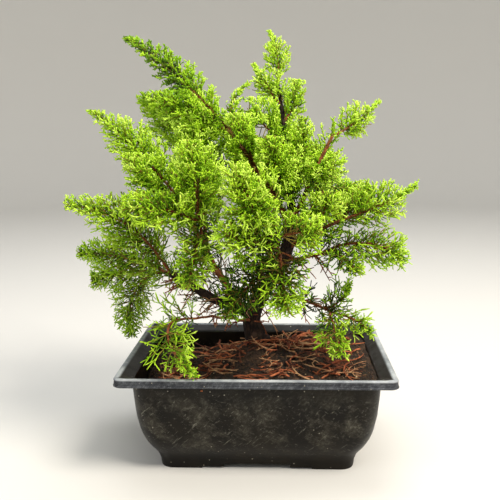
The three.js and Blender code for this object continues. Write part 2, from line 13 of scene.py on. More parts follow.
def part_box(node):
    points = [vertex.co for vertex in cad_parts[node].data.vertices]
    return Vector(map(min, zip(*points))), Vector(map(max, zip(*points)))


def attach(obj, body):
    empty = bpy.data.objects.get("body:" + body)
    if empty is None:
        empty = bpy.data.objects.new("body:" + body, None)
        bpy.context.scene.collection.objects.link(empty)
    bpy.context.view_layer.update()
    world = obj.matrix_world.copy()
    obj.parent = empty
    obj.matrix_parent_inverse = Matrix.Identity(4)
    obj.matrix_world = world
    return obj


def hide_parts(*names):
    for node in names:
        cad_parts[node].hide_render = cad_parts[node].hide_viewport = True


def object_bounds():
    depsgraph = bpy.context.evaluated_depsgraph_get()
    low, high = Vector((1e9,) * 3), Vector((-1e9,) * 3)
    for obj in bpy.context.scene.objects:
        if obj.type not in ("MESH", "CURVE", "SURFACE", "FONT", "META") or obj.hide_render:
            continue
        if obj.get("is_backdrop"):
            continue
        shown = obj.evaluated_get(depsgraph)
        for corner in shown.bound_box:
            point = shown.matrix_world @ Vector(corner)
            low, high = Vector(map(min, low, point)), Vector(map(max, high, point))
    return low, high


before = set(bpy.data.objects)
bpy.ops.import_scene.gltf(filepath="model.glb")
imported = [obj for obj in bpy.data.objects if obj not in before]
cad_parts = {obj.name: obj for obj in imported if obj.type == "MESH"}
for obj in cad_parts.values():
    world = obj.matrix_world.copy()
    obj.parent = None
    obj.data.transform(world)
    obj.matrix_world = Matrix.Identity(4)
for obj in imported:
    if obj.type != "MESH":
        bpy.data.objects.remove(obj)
cad_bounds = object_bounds()

# ---------------------------------------------------------------- training pot
# A rectangular training pot with a rolled rim and stepped corner feet.  It is one
# injection moulding in black polypropylene, weathered to a dusty, scuffed warm black.
POT_LENGTH = 210.0
POT_WIDTH = 160.0
POT_WALL = 2.5
POT_FLOOR = 7.5
CORNER_STEPS = 10
CRISP_ANGLE = 38  # edges of the moulding that turn by more than this stay crisp
# Height, how far the surface lies inside the rim's outermost edge, and corner radius.
OUTER_WALL = [
    (0, 29, 11), (2, 28.7, 11), (6, 28.2, 11), (11, 26.4, 12), (14.5, 24.2, 13),
    (18, 21.6, 14), (22, 19.3, 14.5), (26, 17.4, 15), (30.5, 15.7, 15.6), (35, 14.4, 16),
    (46, 12.4, 16), (60, 11.1, 16), (74.6, 10, 16),
]
RIM = [
    (75.3, 9.3, 15), (75.3, 1.2, 7), (75.5, 0.5, 6.4), (76.1, 0.1, 6), (76.8, 0.1, 6),
    (77.2, 0.7, 6), (77.7, 0.8, 6), (77.9, 0.5, 6), (78.2, 0.5, 6), (78.4, 0.9, 6),
    (78.9, 0.9, 6), (79.1, 0.6, 6), (79.4, 0.6, 6), (79.6, 0.9, 6), (80.3, 0.8, 6),
    (80.9, 0.4, 6), (81.5, 0.6, 6), (81.9, 1.3, 6), (82, 2.2, 6.3), (81.9, 3.4, 6.8),
    (81.4, 4.4, 7.4), (80.3, 6.2, 8.6), (78.1, 9.9, 11), (77.2, 11.5, 12.2), (76.2, 12.4, 13),
]
RIM_TOP = (3.6, 5.2)  # distances from its outer edge where the rim's painted sheen and highlight give way
INNER_WALL = [74, 66, 60, 46, 35, 26, 18, 11, POT_FLOOR]
ARCH_HALF = (26, 17)  # half length of the high middle of each base edge
ARCH_HEIGHT = 4.0
STEP_HALF = (43, 28)  # and of the low step on both sides of it
STEP_HEIGHT = 1.5
# The kinds of node that the materials use most.
NOISE = "ShaderNodeTexNoise"
RAMP = "ShaderNodeValToRGB"
MIX = "ShaderNodeMixRGB"
MATH = "ShaderNodeMath"
VECTOR_MATH = "ShaderNodeVectorMath"
MAP_RANGE = "ShaderNodeMapRange"
BUMP = "ShaderNodeBump"

pot_low, pot_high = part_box("pot")
POT_MIDDLE = np.array([(pot_low.x + pot_high.x) / 2, (pot_low.y + pot_high.y) / 2, pot_low.z])


def in_row(points):
    """Millimetres about the middle of the pot, as metres in the row's frame."""
    return np.asarray(points, float) / 1000 + POT_MIDDLE


def mix(a, b, t):
    """From a at t = 0 to b at t = 1."""
    return a + (b - a) * t


def smoothstep(low, high, x):
    """An eased rise from 0 at low to 1 at high; it falls where low is the larger."""
    t = np.clip((np.asarray(x, float) - low) / (high - low), 0, 1)
    return t * t * (3 - 2 * t)


def linear(colour):
    """An sRGB hex colour as linear red, green, blue and alpha."""
    parts = [int(colour[i : i + 2], 16) / 255 for i in (1, 3, 5)]
    return [c / 12.92 if c <= 0.04045 else ((c + 0.055) / 1.055) ** 2.4 for c in parts] + [1]


def add_node(tree, kind, sockets=None, stops=(), **settings):
    """Adds a node and gives its outputs.  A socket's value is a number, a hex colour or
    the output that feeds it, and a ramp runs through (place, hex colour or grey) stops."""
    node = tree.nodes.new(kind)
    for key, value in settings.items():
        setattr(node, key, value)
    for key, value in (sockets or {}).items():
        if isinstance(value, bpy.types.NodeSocket):
            tree.links.new(value, node.inputs[key])
        else:
            node.inputs[key].default_value = linear(value) if isinstance(value, str) else value
    if stops:
        elements = node.color_ramp.elements
        while len(elements) < len(stops):
            elements.new(0.5)
        for element, (place, colour) in zip(elements, stops):
            element.position = place
            element.color = linear(colour) if isinstance(colour, str) else [colour] * 3 + [1]
    return node.outputs


def new_material(name):
    """An empty material and its node tree."""
    material = bpy.data.materials.new(name)
    material.use_nodes = True
    material.node_tree.nodes.clear()
    return material, material.node_tree


def surfaced(material, sockets):
    """Ends a material in one Principled shader with these sockets set or fed."""
    shader = add_node(material.node_tree, "ShaderNodeBsdfPrincipled", sockets)
    add_node(material.node_tree, "ShaderNodeOutputMaterial", {"Surface": shader["BSDF"]})
    return material


def placed(name, mesh, material):
    """A smooth piece of one material, in the scene."""
    mesh.materials.append(material)
    mesh.shade_smooth()
    piece = bpy.data.objects.new(name, mesh)
    bpy.context.scene.collection.objects.link(piece)
    return piece


def mesh_object(name, points, faces, material):
    """A piece from points in the row's metres and faces of any count of corners."""
    mesh = bpy.data.meshes.new(name)
    mesh.from_pydata([tuple(p) for p in points], [], faces)
    mesh.update()
    return placed(name, mesh, material)


def settle(piece):
    """Puts what a piece's modifiers make in place of its mesh, and removes them."""
    bpy.context.view_layer.update()
    seen = piece.evaluated_get(bpy.context.evaluated_depsgraph_get())
    mesh = bpy.data.meshes.new_from_object(seen)
    piece.modifiers.clear()
    piece.data = mesh


def declare(piece, slot, *nodes):
    """Hands a finished piece to the frame."""
    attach(piece, "root")
    if nodes:
        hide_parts(*nodes)


def rounded_ring(half_x, half_y, corner, height, straight=6):
    """A rounded rectangle seen anticlockwise from above."""
    ring = []
    quarter = np.linspace(0, math.pi / 2, CORNER_STEPS + 1)
    for turn, (sx, sy) in enumerate([(1, 1), (-1, 1), (-1, -1), (1, -1)]):
        angles = quarter + turn * math.pi / 2
        x = sx * (half_x - corner) + corner * np.cos(angles)
        y = sy * (half_y - corner) + corner * np.sin(angles)
        ring += list(zip(x, y))
        if turn % 2:
            end = (x[-1], -sy * (half_y - corner))
        else:
            end = (-sx * (half_x - corner), y[-1])
        for i in range(1, straight):
            t = i / straight
            ring.append((mix(x[-1], end[0], t), mix(y[-1], end[1], t)))
    return np.array([(x, y, height) for x, y in ring])


def pot_ring(inset, corner, height):
    """The pot's outline at a height, this far inside the rim's outermost edge."""
    return rounded_ring(POT_LENGTH / 2 - inset, POT_WIDTH / 2 - inset, corner, height)


def wall_at(height):
    """How far the outer wall lies inside the rim at a height, and its corner radius."""
    heights, insets, corners = zip(*OUTER_WALL)
    return np.interp(height, heights, insets), np.interp(height, heights, corners)


def loft_faces(rings, around):
    """Faces of a skin through rings of equal count, closed at both ends."""
    faces = []
    for r in range(rings - 1):
        for s in range(around):
            a, b = r * around + s, r * around + (s + 1) % around
            faces.append((a, b, b + around, a + around))
    faces.append(tuple(range(around))[::-1])
    faces.append(tuple(range((rings - 1) * around, rings * around)))
    return faces


def pot_shell():
    """The pot's skin: up the outside, over the rim and down the inside to the floor."""
    rings = [pot_ring(inset, corner, height) for height, inset, corner in OUTER_WALL + RIM]
    for height in INNER_WALL:
        inset, corner = wall_at(height)
        rings.append(pot_ring(inset + POT_WALL, corner - POT_WALL, height))
    return np.vstack(rings), loft_faces(len(rings), len(rings[0]))


def cut_arch(piece, half_x, half_y, height):
    """Cuts a low bar-shaped passage through the base of the pot."""
    bpy.ops.mesh.primitive_cube_add(size=2, location=POT_MIDDLE)
    bar = bpy.context.object
    bar.scale = (half_x / 1000, half_y / 1000, height / 1000)
    cut = piece.modifiers.new("arch", "BOOLEAN")
    cut.operation = "DIFFERENCE"
    cut.object = bar
    return bar


def black_polypropylene():
    """Injection-moulded black polypropylene: satin, with a warm cast.  Dust lifts it to grey,
    fine scratches run across it, and grit leaves pale specks.  A painted sheen with scuffs
    on it greys the rim's outer face and top, and a painted highlight pales the lip's top."""
    material, tree = new_material("moulded_black_polypropylene")
    place = add_node(tree, "ShaderNodeTexCoord")["Object"]
    height = add_node(tree, "ShaderNodeSeparateXYZ", {"Vector": place})["Z"]

    def grain(size, detail, rough=0.6, longer=1.0, turn=(0, 0, 0)):
        """Noise of a size in millimetres, drawn out along a direction turned from X."""
        lie = {"Vector": place, "Scale": (longer, 1, 1), "Rotation": turn}
        drawn = add_node(tree, "ShaderNodeMapping", lie, vector_type="TEXTURE")[0]
        look = {"Vector": drawn, "Scale": 1000 / size, "Detail": detail, "Roughness": rough}
        return add_node(tree, NOISE, look)[0]

    def rising(value, low, high):
        """From 0 to 1 between two distances in millimetres, of a value in metres."""
        ends = {"Value": value, "From Min": low / 1000, "From Max": high / 1000}
        return add_node(tree, MAP_RANGE, ends)[0]

    # Dust clouds, rubbed smears, scuffs, and fine scratches that cross at a slant.
    clouds, smears, scuffs, fine, crossing = [
        add_node(tree, RAMP, {"Fac": grain(*look)}, [(bare, 0.0), (full, 1.0)])[0]
        for look, bare, full in [
            ((30, 7, 0.66), 0.42, 0.66),
            ((17, 7, 0.72, 1.5, (0, 0.4, 0.5)), 0.47, 0.62),
            ((2.4, 6, 0.85, 2.2, (0, -0.7, 0.6)), 0.48, 0.74),
            ((1.6, 4, 0.7, 12, (0, 0.3, 0.5)), 0.6, 0.7),
            ((1.6, 4, 0.7, 12, (0, -0.75, -0.4)), 0.61, 0.7),
        ]
    ]
    cells = add_node(tree, "ShaderNodeTexVoronoi", {"Vector": place, "Scale": 1000 / 4.5})
    grit = add_node(tree, RAMP, {"Fac": cells["Distance"]}, [(0.05, 1.0), (0.12, 0.0)])[0]
    sparse = add_node(tree, RAMP, {"Fac": cells["Color"]}, [(0.6, 0.0), (0.64, 1.0)])[0]

    across = add_node(tree, VECTOR_MATH, {0: place, 1: POT_MIDDLE}, operation="SUBTRACT")
    across = add_node(tree, VECTOR_MATH, {0: across[0]}, operation="ABSOLUTE")
    across = add_node(tree, "ShaderNodeSeparateXYZ", {"Vector": across[0]})
    sides = {
        0: rising(across["X"], POT_LENGTH / 2 - RIM_TOP[1], POT_LENGTH / 2 - RIM_TOP[0]),
        1: rising(across["Y"], POT_WIDTH / 2 - RIM_TOP[1], POT_WIDTH / 2 - RIM_TOP[0]),
    }
    outside = add_node(tree, MATH, sides, operation="MAXIMUM")[0]
    # Painted sheen, with real scuffs on it: the rim's outer face and top turn bluish grey.
    rim_sheen_and_scuffs = add_node(tree, MIX, {"Fac": clouds, 1: "#2a2c31", 2: "#484b50"})[0]
    rim_sheen_and_scuffs = add_node(tree, MIX, {"Fac": scuffs, 1: rim_sheen_and_scuffs, 2: "#7d8084"})[0]
    # Painted highlight: the top millimetre of the lip is pale.
    lip_highlight = add_node(tree, MIX, {"Fac": clouds, 1: "#7e8389", 2: "#c3c7c9"})[0]
    band = (rising(height, 8, 26), rising(height, 74, 56))  # the bulge of the wall
    colour = "#0d0a06"
    for shares, tint in [
        ((clouds,), "#1b160e"),
        ((*band, smears), "#2d2a22"),
        ((*band, smears, scuffs), "#69655a"),
        ((*band, fine), "#5a574d"),
        ((*band, crossing), "#6e6b60"),
        # the painted sheen of the rim, then the painted highlight of the lip
        ((rising(height, 74.8, 75.2), outside), rim_sheen_and_scuffs),
        ((rising(height, 80.4, 81.6), outside), lip_highlight),
        ((grit, sparse), "#b0a997"),
    ]:
        share = shares[0]
        for other in shares[1:]:
            share = add_node(tree, MATH, {0: share, 1: other}, operation="MULTIPLY")[0]
        colour = add_node(tree, MIX, {"Fac": share, 1: colour, 2: tint})[0]
    sheen = add_node(tree, MIX, {"Fac": 0.5, 1: clouds, 2: smears})[0]
    texture = add_node(tree, MIX, {"Fac": 0.5, 1: fine, 2: grain(1.1, 2)})[0]
    relief = {"Height": texture, "Strength": 0.25, "Distance": 0.0003}
    looks = {
        "Base Color": colour,
        "Roughness": add_node(tree, RAMP, {"Fac": sheen}, [(0.0, 0.3), (1.0, 0.55)])[0],
        "Normal": add_node(tree, BUMP, relief)[0],
        "IOR": 1.49,
        "Specular IOR Level": 0.17,
    }
    return surfaced(material, looks)


shell, shell_faces = pot_shell()
pot = mesh_object("training_pot", in_row(shell), shell_faces, black_polypropylene())
bars = []
for half, height in [(ARCH_HALF, ARCH_HEIGHT), (STEP_HALF, STEP_HEIGHT)]:
    bars.append(cut_arch(pot, half[0], POT_LENGTH, height))
    bars.append(cut_arch(pot, POT_LENGTH, half[1], height))
settle(pot)
for bar in bars:
    bpy.data.objects.remove(bar)
pot.data.shade_smooth()
pot.data.set_sharp_from_angle(angle=math.radians(CRISP_ANGLE))
declare(pot, "pot_plastic", "pot")

# ---------------------------------------------------------------- potting mix
# Damp composted bark and peat, low at the left of the pot and heaped round the trunk.
# It is crumbly and nearly black, with bits of bark and grit lying loose on it.
SOIL_LEFT = 63.0
SOIL_RIGHT = 77.0
SOIL_SLOPE = (-75, 45)
MOUND_TOP = 81.0
MOUND_MIDDLE = (4, 14)
MOUND_REACH = 42.0
SOIL_RINGS = 40
SOIL_FOOT = 30.0
SOIL_GAP = 0.3  # between the wall and the plain edge of the mix
SOIL_EDGE = 75.5  # the mix rises no higher than this at the wall
UNEVEN = (1.5, 9)  # how high and how wide the lumps of its surface are
SOIL_CORNER = [70, 45]  # only beyond these does the mix follow the wall as it draws in
STREWN_PATCH = 30  # loose bits lie thicker and thinner over patches this wide


def rough(points, size, octaves=4, seed=0.0):
    """Fractal unevenness, about -1 to 1, over lumps of the given size in millimetres."""
    lumps = [
        noise.fractal(Vector(p) / size + Vector((seed, seed, seed)), 1.0, 2.0, octaves)
        for p in points
    ]
    return np.array(lumps)


def soil_height(x, y):
    """The even level of the mix: a slope from left to right, a mound and broad clods."""
    rise = smoothstep(*SOIL_SLOPE, x - 0.25 * y)
    mound = smoothstep(MOUND_REACH, 8, np.hypot(x - MOUND_MIDDLE[0], y - MOUND_MIDDLE[1]))
    clods = 0.9 * np.sin(0.21 * x + 1) * np.cos(0.17 * y) + 0.5 * np.sin(0.37 * (x + y))
    return mix(mix(SOIL_LEFT, SOIL_RIGHT, rise), MOUND_TOP, mound) + clods


def ring_share(k):
    """How wide a ring of the soil is, as a share of its edge; they close up inwards."""
    return 1 - (k / SOIL_RINGS) ** 1.08


def soil_surface():
    """The top of the soil as rings from the wall inwards, over a plain body below it."""
    inset, corner = wall_at(INNER_WALL[0])
    gap = inset + POT_WALL + SOIL_GAP
    half_x, half_y = POT_LENGTH / 2 - gap, POT_WIDTH / 2 - gap
    edge = rounded_ring(half_x, half_y, corner - POT_WALL, 0, straight=22)
    rings = []
    for k in range(SOIL_RINGS):
        share = ring_share(k)
        ring = edge * [share, share, 0]
        level = soil_height(ring[:, 0], ring[:, 1])
        at_wall = np.minimum(level - 1.5, SOIL_EDGE)
        ring[:, 2] = mix(level, at_wall, smoothstep(0.9, 1, share))
        ring[:, 2] += UNEVEN[0] * rough(ring, UNEVEN[1], 5) * (0.4 if k == 0 else 1)
        wall_inset = wall_at(ring[:, 2])[0] - inset
        shrink = smoothstep(0.8, 1, share) * wall_inset
        ring[:, :2] -= np.sign(ring[:, :2]) * shrink[:, None] * (np.abs(ring[:, :2]) > SOIL_CORNER)
        rings.append(ring)
    foot = edge * [0.86, 0.82, 0] + [0, 0, SOIL_FOOT]
    return np.vstack([foot, *rings]), loft_faces(SOIL_RINGS + 1, len(edge))


def damp_potting_mix():
    """Composted bark and peat: matt and nearly black where damp, browner on the crests,
    with crumbs of 1 to 4 mm."""
    material, tree = new_material("damp_potting_mix")
    place = add_node(tree, "ShaderNodeTexCoord")["Object"]
    crumbs = {"Vector": place, "Scale": 1000 / 3.2, "Detail": 6, "Roughness": 0.7}
    crumb = add_node(tree, NOISE, crumbs)[0]
    patch = add_node(tree, NOISE, {"Vector": place, "Scale": 1000 / 22, "Detail": 3})[0]
    tints = [(0.3, "#0c0805"), (0.5, "#21170f"), (0.68, "#493424")]
    damp = add_node(tree, RAMP, {"Fac": crumb}, tints)[0]
    dry = add_node(tree, RAMP, {"Fac": patch}, [(0.5, 0.0), (0.66, 0.55)])[0]
    relief = {"Height": crumb, "Strength": 0.9, "Distance": 0.0016}
    looks = {
        "Base Color": add_node(tree, MIX, {"Fac": dry, 1: damp, 2: "#4f3a28"})[0],
        "Normal": add_node(tree, BUMP, relief)[0],
        "Roughness": 0.93,
        "IOR": 1.4,
    }
    return surfaced(material, looks)


ground, ground_faces = soil_surface()
soil = mesh_object("potting_mix", in_row(ground), ground_faces, damp_potting_mix())
declare(soil, "potting_mix", "soil")


def soil_bed(share):
    """The top of the soil without its outer part, for things to lie on."""
    around = len(ground) // (SOIL_RINGS + 1)
    first = next(k for k in range(SOIL_RINGS) if ring_share(k) < share) + 1
    points = ground[first * around :]
    mesh = bpy.data.meshes.new("soil_bed")
    faces = loft_faces(SOIL_RINGS + 1 - first, around)
    faces.pop(-2)
    mesh.from_pydata([tuple(p) for p in in_row(points)], [], faces)
    return mesh


def scatter(name, bed, shape, material, **amounts):
    """Strews a shape over the soil with Geometry Nodes: how many to a square metre, how
    large, how far they tip, how deep they sink and how evenly they lie."""
    tree = bpy.data.node_groups.new(name, "GeometryNodeTree")
    io = tree.interface
    io.new_socket("Geometry", in_out="INPUT", socket_type="NodeSocketGeometry")
    names = {}
    for key in ("Density", "Smallest", "Largest", "Tip", "Sink", "Patch", "Seed"):
        kind = "NodeSocketInt" if key == "Seed" else "NodeSocketFloat"
        names[key] = io.new_socket(key, in_out="INPUT", socket_type=kind)
    io.new_socket("Geometry", in_out="OUTPUT", socket_type="NodeSocketGeometry")

    given = add_node(tree, "NodeGroupInput")
    seed = {"Seed": given["Seed"]}
    place = add_node(tree, "GeometryNodeInputPosition")[0]
    lumps = {"Vector": place, "Scale": 1000 / STREWN_PATCH, "Detail": 2.0}
    patchy = add_node(tree, NOISE, lumps)[0]
    thinned = {0: patchy, 1: 0.42, 2: 0.6, 3: given["Patch"], 4: 1.0}
    share = {0: add_node(tree, MAP_RANGE, thinned)[0], 1: given["Density"]}
    amount = add_node(tree, MATH, share, operation="MULTIPLY")[0]
    over = {"Mesh": given["Geometry"], "Density": amount, **seed}
    points = add_node(tree, "GeometryNodeDistributePointsOnFaces", over)
    down = {0: points["Normal"], "Scale": given["Sink"]}
    sunk = add_node(tree, VECTOR_MATH, down, operation="SCALE")[0]
    lower = {"Geometry": points["Points"], "Offset": sunk}
    low = add_node(tree, "GeometryNodeSetPosition", lower)[0]
    back = add_node(tree, MATH, {0: given["Tip"], 1: -1.0}, operation="MULTIPLY")[0]
    turns = {
        k: add_node(tree, "ShaderNodeCombineXYZ", {0: tip, 1: tip, 2: spin})[0]
        for k, (tip, spin) in enumerate([(back, 0.0), (given["Tip"], math.tau)])
    }
    turn = {**turns, **seed}
    size = {2: given["Smallest"], 3: given["Largest"], **seed}
    each = {
        "Points": low,
        "Instance": add_node(tree, "GeometryNodeObjectInfo", {"Object": shape})["Geometry"],
        "Rotation": add_node(tree, "FunctionNodeRandomValue", turn, data_type="FLOAT_VECTOR")[0],
        "Scale": add_node(tree, "FunctionNodeRandomValue", size, data_type="FLOAT")[1],
    }
    strewn = add_node(tree, "GeometryNodeInstanceOnPoints", each)[0]
    real = add_node(tree, "GeometryNodeRealizeInstances", {"Geometry": strewn})[0]
    painted = {"Geometry": real, "Material": material}
    add_node(tree, "NodeGroupOutput", {0: add_node(tree, "GeometryNodeSetMaterial", painted)[0]})

    carrier = bpy.data.objects.new(name, soil_bed(bed))
    bpy.context.scene.collection.objects.link(carrier)
    modifier = carrier.modifiers.new("strewn", "NODES")
    modifier.node_group = tree
    for key, value in amounts.items():
        modifier[names[key.capitalize()].identifier] = value
    settle(carrier)
    declare(carrier, "potting_mix")


def crumb_shape(name, squash, seed):
    """A pebble-like crumb one unit across."""
    bpy.ops.mesh.primitive_ico_sphere_add(subdivisions=1, radius=0.5)
    crumb = bpy.context.object
    crumb.name = name
    for vertex in crumb.data.vertices:
        vertex.co *= 1 + 0.35 * noise.noise(vertex.co * 2 + Vector((seed, 0, 0)))
        vertex.co *= Vector(squash)
    return crumb


def spotted(name, size, low, high, roughness=0.9, ior=1.5):
    """A dry matt stuff, lighter and darker in soft spots of a size in millimetres."""
    material, tree = new_material(name)
    place = add_node(tree, "ShaderNodeTexCoord")["Object"]
    spot = add_node(tree, NOISE, {"Vector": place, "Scale": 1000 / size, "Detail": 3})[0]
    colour = add_node(tree, RAMP, {"Fac": spot}, [low, high])[0]
    return surfaced(material, {"Base Color": colour, "Roughness": roughness, "IOR": ior})


# Broken bark, peat and grit are matt, each bit a little lighter or darker than the next.
bark_bit = crumb_shape("bark_bit", (1.0, 0.62, 0.3), 3.0)
peat_crumb = crumb_shape("peat_crumb", (1.0, 0.8, 0.7), 8.0)
brown_peat = spotted("peat_crumb_brown", 5, (0.35, "#1b120b"), (0.65, "#523a28"))
composted_bark = spotted("composted_bark", 9, (0.35, "#2c1a0f"), (0.65, "#7a5436"))
pale_grit = spotted("pale_grit", 14, (0.35, "#8b7355"), (0.65, "#c4ab86"))
scatter(
    "peat_crumbs", 0.985, peat_crumb, brown_peat,
    density=95000.0, smallest=0.0010, largest=0.0030, tip=1.5, sink=0.0001, patch=0.6, seed=3,
)
scatter(
    "bark_bits", 0.96, bark_bit, composted_bark,
    density=9000.0, smallest=0.0025, largest=0.0068, tip=0.5, sink=0.0003, patch=0.35, seed=5,
)
scatter(
    "pale_grit", 0.97, peat_crumb, pale_grit,
    density=2600.0, smallest=0.0009, largest=0.0026, tip=1.5, sink=0.0002, patch=0.2, seed=9,
)

# ---------------------------------------------------------------- trunk and boughs
# The living wood of the tree: a crooked trunk flaring at its roots, and tapering boughs.
# Old juniper bark is purple-brown and stringy, and it splits along the limb into flakes.
TRUNK_FOOT = 79.0
TRUNK_LINE = [
    (-2, 25, 80, 8.0),
    (-6, 24, 101, 7.2),
    (3, 20, 125, 6.8),
    (20, 12, 153, 6.3),
    (28, 7, 185, 4.4),
    (24, 3, 230, 2.6),
    (22, 9, 262, 1.9),
    (17, 34, 298, 1.2),
]
# Name, parent, where it leaves the parent, tip, bow of its middle, root and tip radius.
BOUGHS = [
    ("low_left_bough", "trunk", 0.11, (-71, -5, 146), (0, 0, -2), 5.2, 2.6),
    ("left_bough", "low_left_bough", 0.12, (-58, -18, 205), (-2, 0, -3), 3.3, 1.6),
    ("left_leader", "trunk", 0.48, (-24, 3, 264), (0, -8, 3), 2.8, 1.6),
    ("right_high_bough", "trunk", 0.5, (60, 3, 256), (0, -4, 0), 2.2, 1.2),
    ("right_bough", "trunk", 0.4, (66, -14, 191), (0, 0, 0), 2.6, 1.4),
    ("right_low_bough", "trunk", 0.35, (63, -14, 170), (0, -3, -2), 2.0, 1.2),
    ("low_right_twig", "trunk", 0.2, (60, -26, 119), (0, 0, 4), 1.6, 1.0),
    ("low_front_twig", "trunk", 0.08, (-61, -60, 122), (6, -6, 4), 1.3, 0.8),
    ("low_back_twig", "low_left_bough", 0.78, (-92, 32, 139), (2, 4, 4), 1.7, 1.0),
    ("front_bough", "trunk", 0.33, (10, -45, 186), (3, -4, -4), 2.1, 1.2),
    ("front_left_bough", "left_bough", 0.5, (-42, -42, 193), (0, -4, 0), 1.7, 1.0),
    ("back_bough", "trunk", 0.28, (4, 72, 190), (0, 6, -6), 2.3, 1.2),
    ("back_right_bough", "trunk", 0.44, (58, 52, 214), (0, 4, -4), 2.1, 1.1),
    ("back_left_bough", "left_bough", 0.62, (-58, 44, 240), (4, 6, -4), 1.8, 1.0),
]
WANDER = (2.2, 21)  # how far and over what length a bough strays from its even bow
SWELL = 0.25  # how much thicker a bough is where it leaves its parent
ROOT_FLARE = 0.42  # how far the roots stand out at the soil, as a share of the radius
FLARE_HEIGHT = 7.0
STRINGS = (1.7, 16)  # how fine the fibres are round a limb, and their length along it
LUMPS = (1.0, 11)  # and the lumps under them


def by_length(curve_at, count=120):
    """Points evenly spaced along a curve that curve_at gives for values from 0 to 1."""
    fine = curve_at(np.linspace(0, 1, 6 * count + 1))
    steps = np.linalg.norm(np.diff(fine[:, :3], axis=0), axis=1)
    run = np.concatenate([[0], np.cumsum(steps)])
    even = np.linspace(0, run[-1], count + 1)
    return np.stack([np.interp(even, run, column) for column in fine.T], axis=1)


def place_on(line, t):
    """The place at a share t of a line's length, with whatever other columns it has."""
    where = np.asarray(t, float) * (len(line) - 1)
    rows = np.arange(len(line))
    return np.stack([np.interp(where, rows, column) for column in line.T], axis=-1)


def unit(vectors):
    """Vectors of the same directions, one long."""
    return vectors / np.linalg.norm(vectors, axis=-1, keepdims=True)


def ahead_on(line, t):
    """The direction in which a line runs on at a share t of its length."""
    step = 0.5 / (len(line) - 1)
    before, after = np.clip(t - step, 0, 1), np.clip(t + step, 0, 1)
    return unit((place_on(line, after) - place_on(line, before))[..., :3])


def line_length(line):
    """How long a line of points is."""
    return np.linalg.norm(np.diff(line[:, :3], axis=0), axis=1).sum()


def centripetal(knots, values):
    """A centripetal Catmull-Rom curve through rows of place and radius."""
    knots = np.array(knots, float)
    rows = np.vstack([2 * knots[0] - knots[1], knots, 2 * knots[-1] - knots[-2]])
    out = []
    for value in values:
        along = value * (len(knots) - 1)
        i = min(int(along), len(knots) - 2)
        w = along - i
        p = rows[i : i + 4, :3]
        d = np.linalg.norm(np.diff(p, axis=0), axis=1) ** 0.5
        start = (p[1] - p[0]) / d[0] - (p[2] - p[0]) / (d[0] + d[1]) + (p[2] - p[1]) / d[1]
        end = (p[2] - p[1]) / d[1] - (p[3] - p[1]) / (d[1] + d[2]) + (p[3] - p[2]) / d[2]
        start, end = start * d[1], end * d[1]
        square = -3 * p[1] + 3 * p[2] - 2 * start - end
        cube = 2 * p[1] - 2 * p[2] + start + end
        place = p[1] + w * start + w * w * square + w**3 * cube
        out.append([*place, mix(knots[i, 3], knots[i + 1, 3], w)])
    return np.array(out)


def bowed(start, tip, bow):
    """The straight line from start to tip, bowed in its middle."""
    start, tip = np.array(start, float), np.array(tip, float)
    middle = (start + tip) / 2 + 2 * np.array(bow, float)

    def at(values):
        """The places on the bow for values from 0 to 1."""
        t = values[:, None]
        return (1 - t) ** 2 * start + 2 * t * (1 - t) * middle + t * t * tip

    return by_length(at)


def trunk_and_boughs():
    """Each limb's middle line and radius, by name."""
    found = {"trunk": by_length(lambda values: centripetal(TRUNK_LINE, values), 200)}
    for name, parent, along, tip, bow, root, end in BOUGHS:
        line = bowed(place_on(found[parent], along)[:3], tip, bow)
        t = np.linspace(0, 1, len(line))
        strays = [rough(line, WANDER[1], 2, 4.7 * axis) for axis in (1, 2, 3)]
        line = line + WANDER[0] * np.stack(strays, axis=1) * np.sin(math.pi * t)[:, None]
        radius = mix(root, end, t) * (1 + SWELL * np.exp(-14 * t))
        found[name] = np.column_stack([line, radius])
    return found


def square_frames(line):
    """Two directions across a line at each of its points, that turn as little as may be."""
    ahead = unit(np.gradient(line[:, :3], axis=0))
    side = np.cross(ahead[0], [0.31, 0.95, 0.12])
    sides = []
    for direction in ahead:
        side = side - direction * side.dot(direction)
        side /= np.linalg.norm(side)
        sides.append(side)
    return np.array(sides), np.cross(ahead, sides)


def bark_limb(name, line, around, relief):
    """Points, faces and bark coordinates of one limb, closed at both ends.  Fibres and
    lumps raise its bark, and the trunk spreads into its roots at the soil."""
    side, across = square_frames(line)
    run = line_length(line) * np.linspace(0, 1, len(line))
    angles = np.linspace(0, 2 * math.pi, around, endpoint=False)
    circle = np.column_stack([np.cos(angles), np.sin(angles)])
    rings, marks = [], []
    for i, (x, y, z, radius) in enumerate(line):
        flare = np.ones(around)
        if name == "trunk":
            roots = 1 + 0.4 * np.cos(5 * angles + 0.6) + 0.2 * np.cos(3 * angles + 2)
            flare += ROOT_FLARE * roots * math.exp(-(z - TRUNK_LINE[0][2]) / FLARE_HEIGHT)
        bark = [np.append(STRINGS[0] * spoke, run[i] / STRINGS[1]) for spoke in circle]
        knots = [np.append(LUMPS[0] * spoke, run[i] / LUMPS[1]) for spoke in circle]
        strings = 1 - np.abs(rough(bark, 1, 3, 5.3 + len(line)))
        lumps = rough(knots, 1.4, 3, 1.7 + len(line))
        r = radius * flare + relief * (1.9 * (strings - 0.75) + 0.9 * lumps)
        spokes = circle[:, :1] * side[i] + circle[:, 1:] * across[i]
        ring = np.array([x, y, z]) + r[:, None] * spokes
        if name == "trunk" and i == 0:
            ring[:, 2] = TRUNK_FOOT
        rings.append(ring)
        marks.append(np.stack([angles * radius, np.full(around, run[i])], axis=1))
    return np.vstack(rings), loft_faces(len(rings), around), np.vstack(marks)


def joined_limbs(names, around, relief, step):
    """Points, faces and bark coordinates of several limbs, a ring at every step."""
    points, faces, marks, count = [], [], [], 0
    for name in names:
        line = limbs[name]
        keep = max(8, int(line_length(line) / step))
        line = place_on(line, np.linspace(0, 1, keep))
        these, skin, mark = bark_limb(name, line, around, relief)
        points.append(these)
        marks.append(mark)
        faces += [tuple(v + count for v in face) for face in skin]
        count += len(these)
    return np.vstack(points), faces, np.vstack(marks)


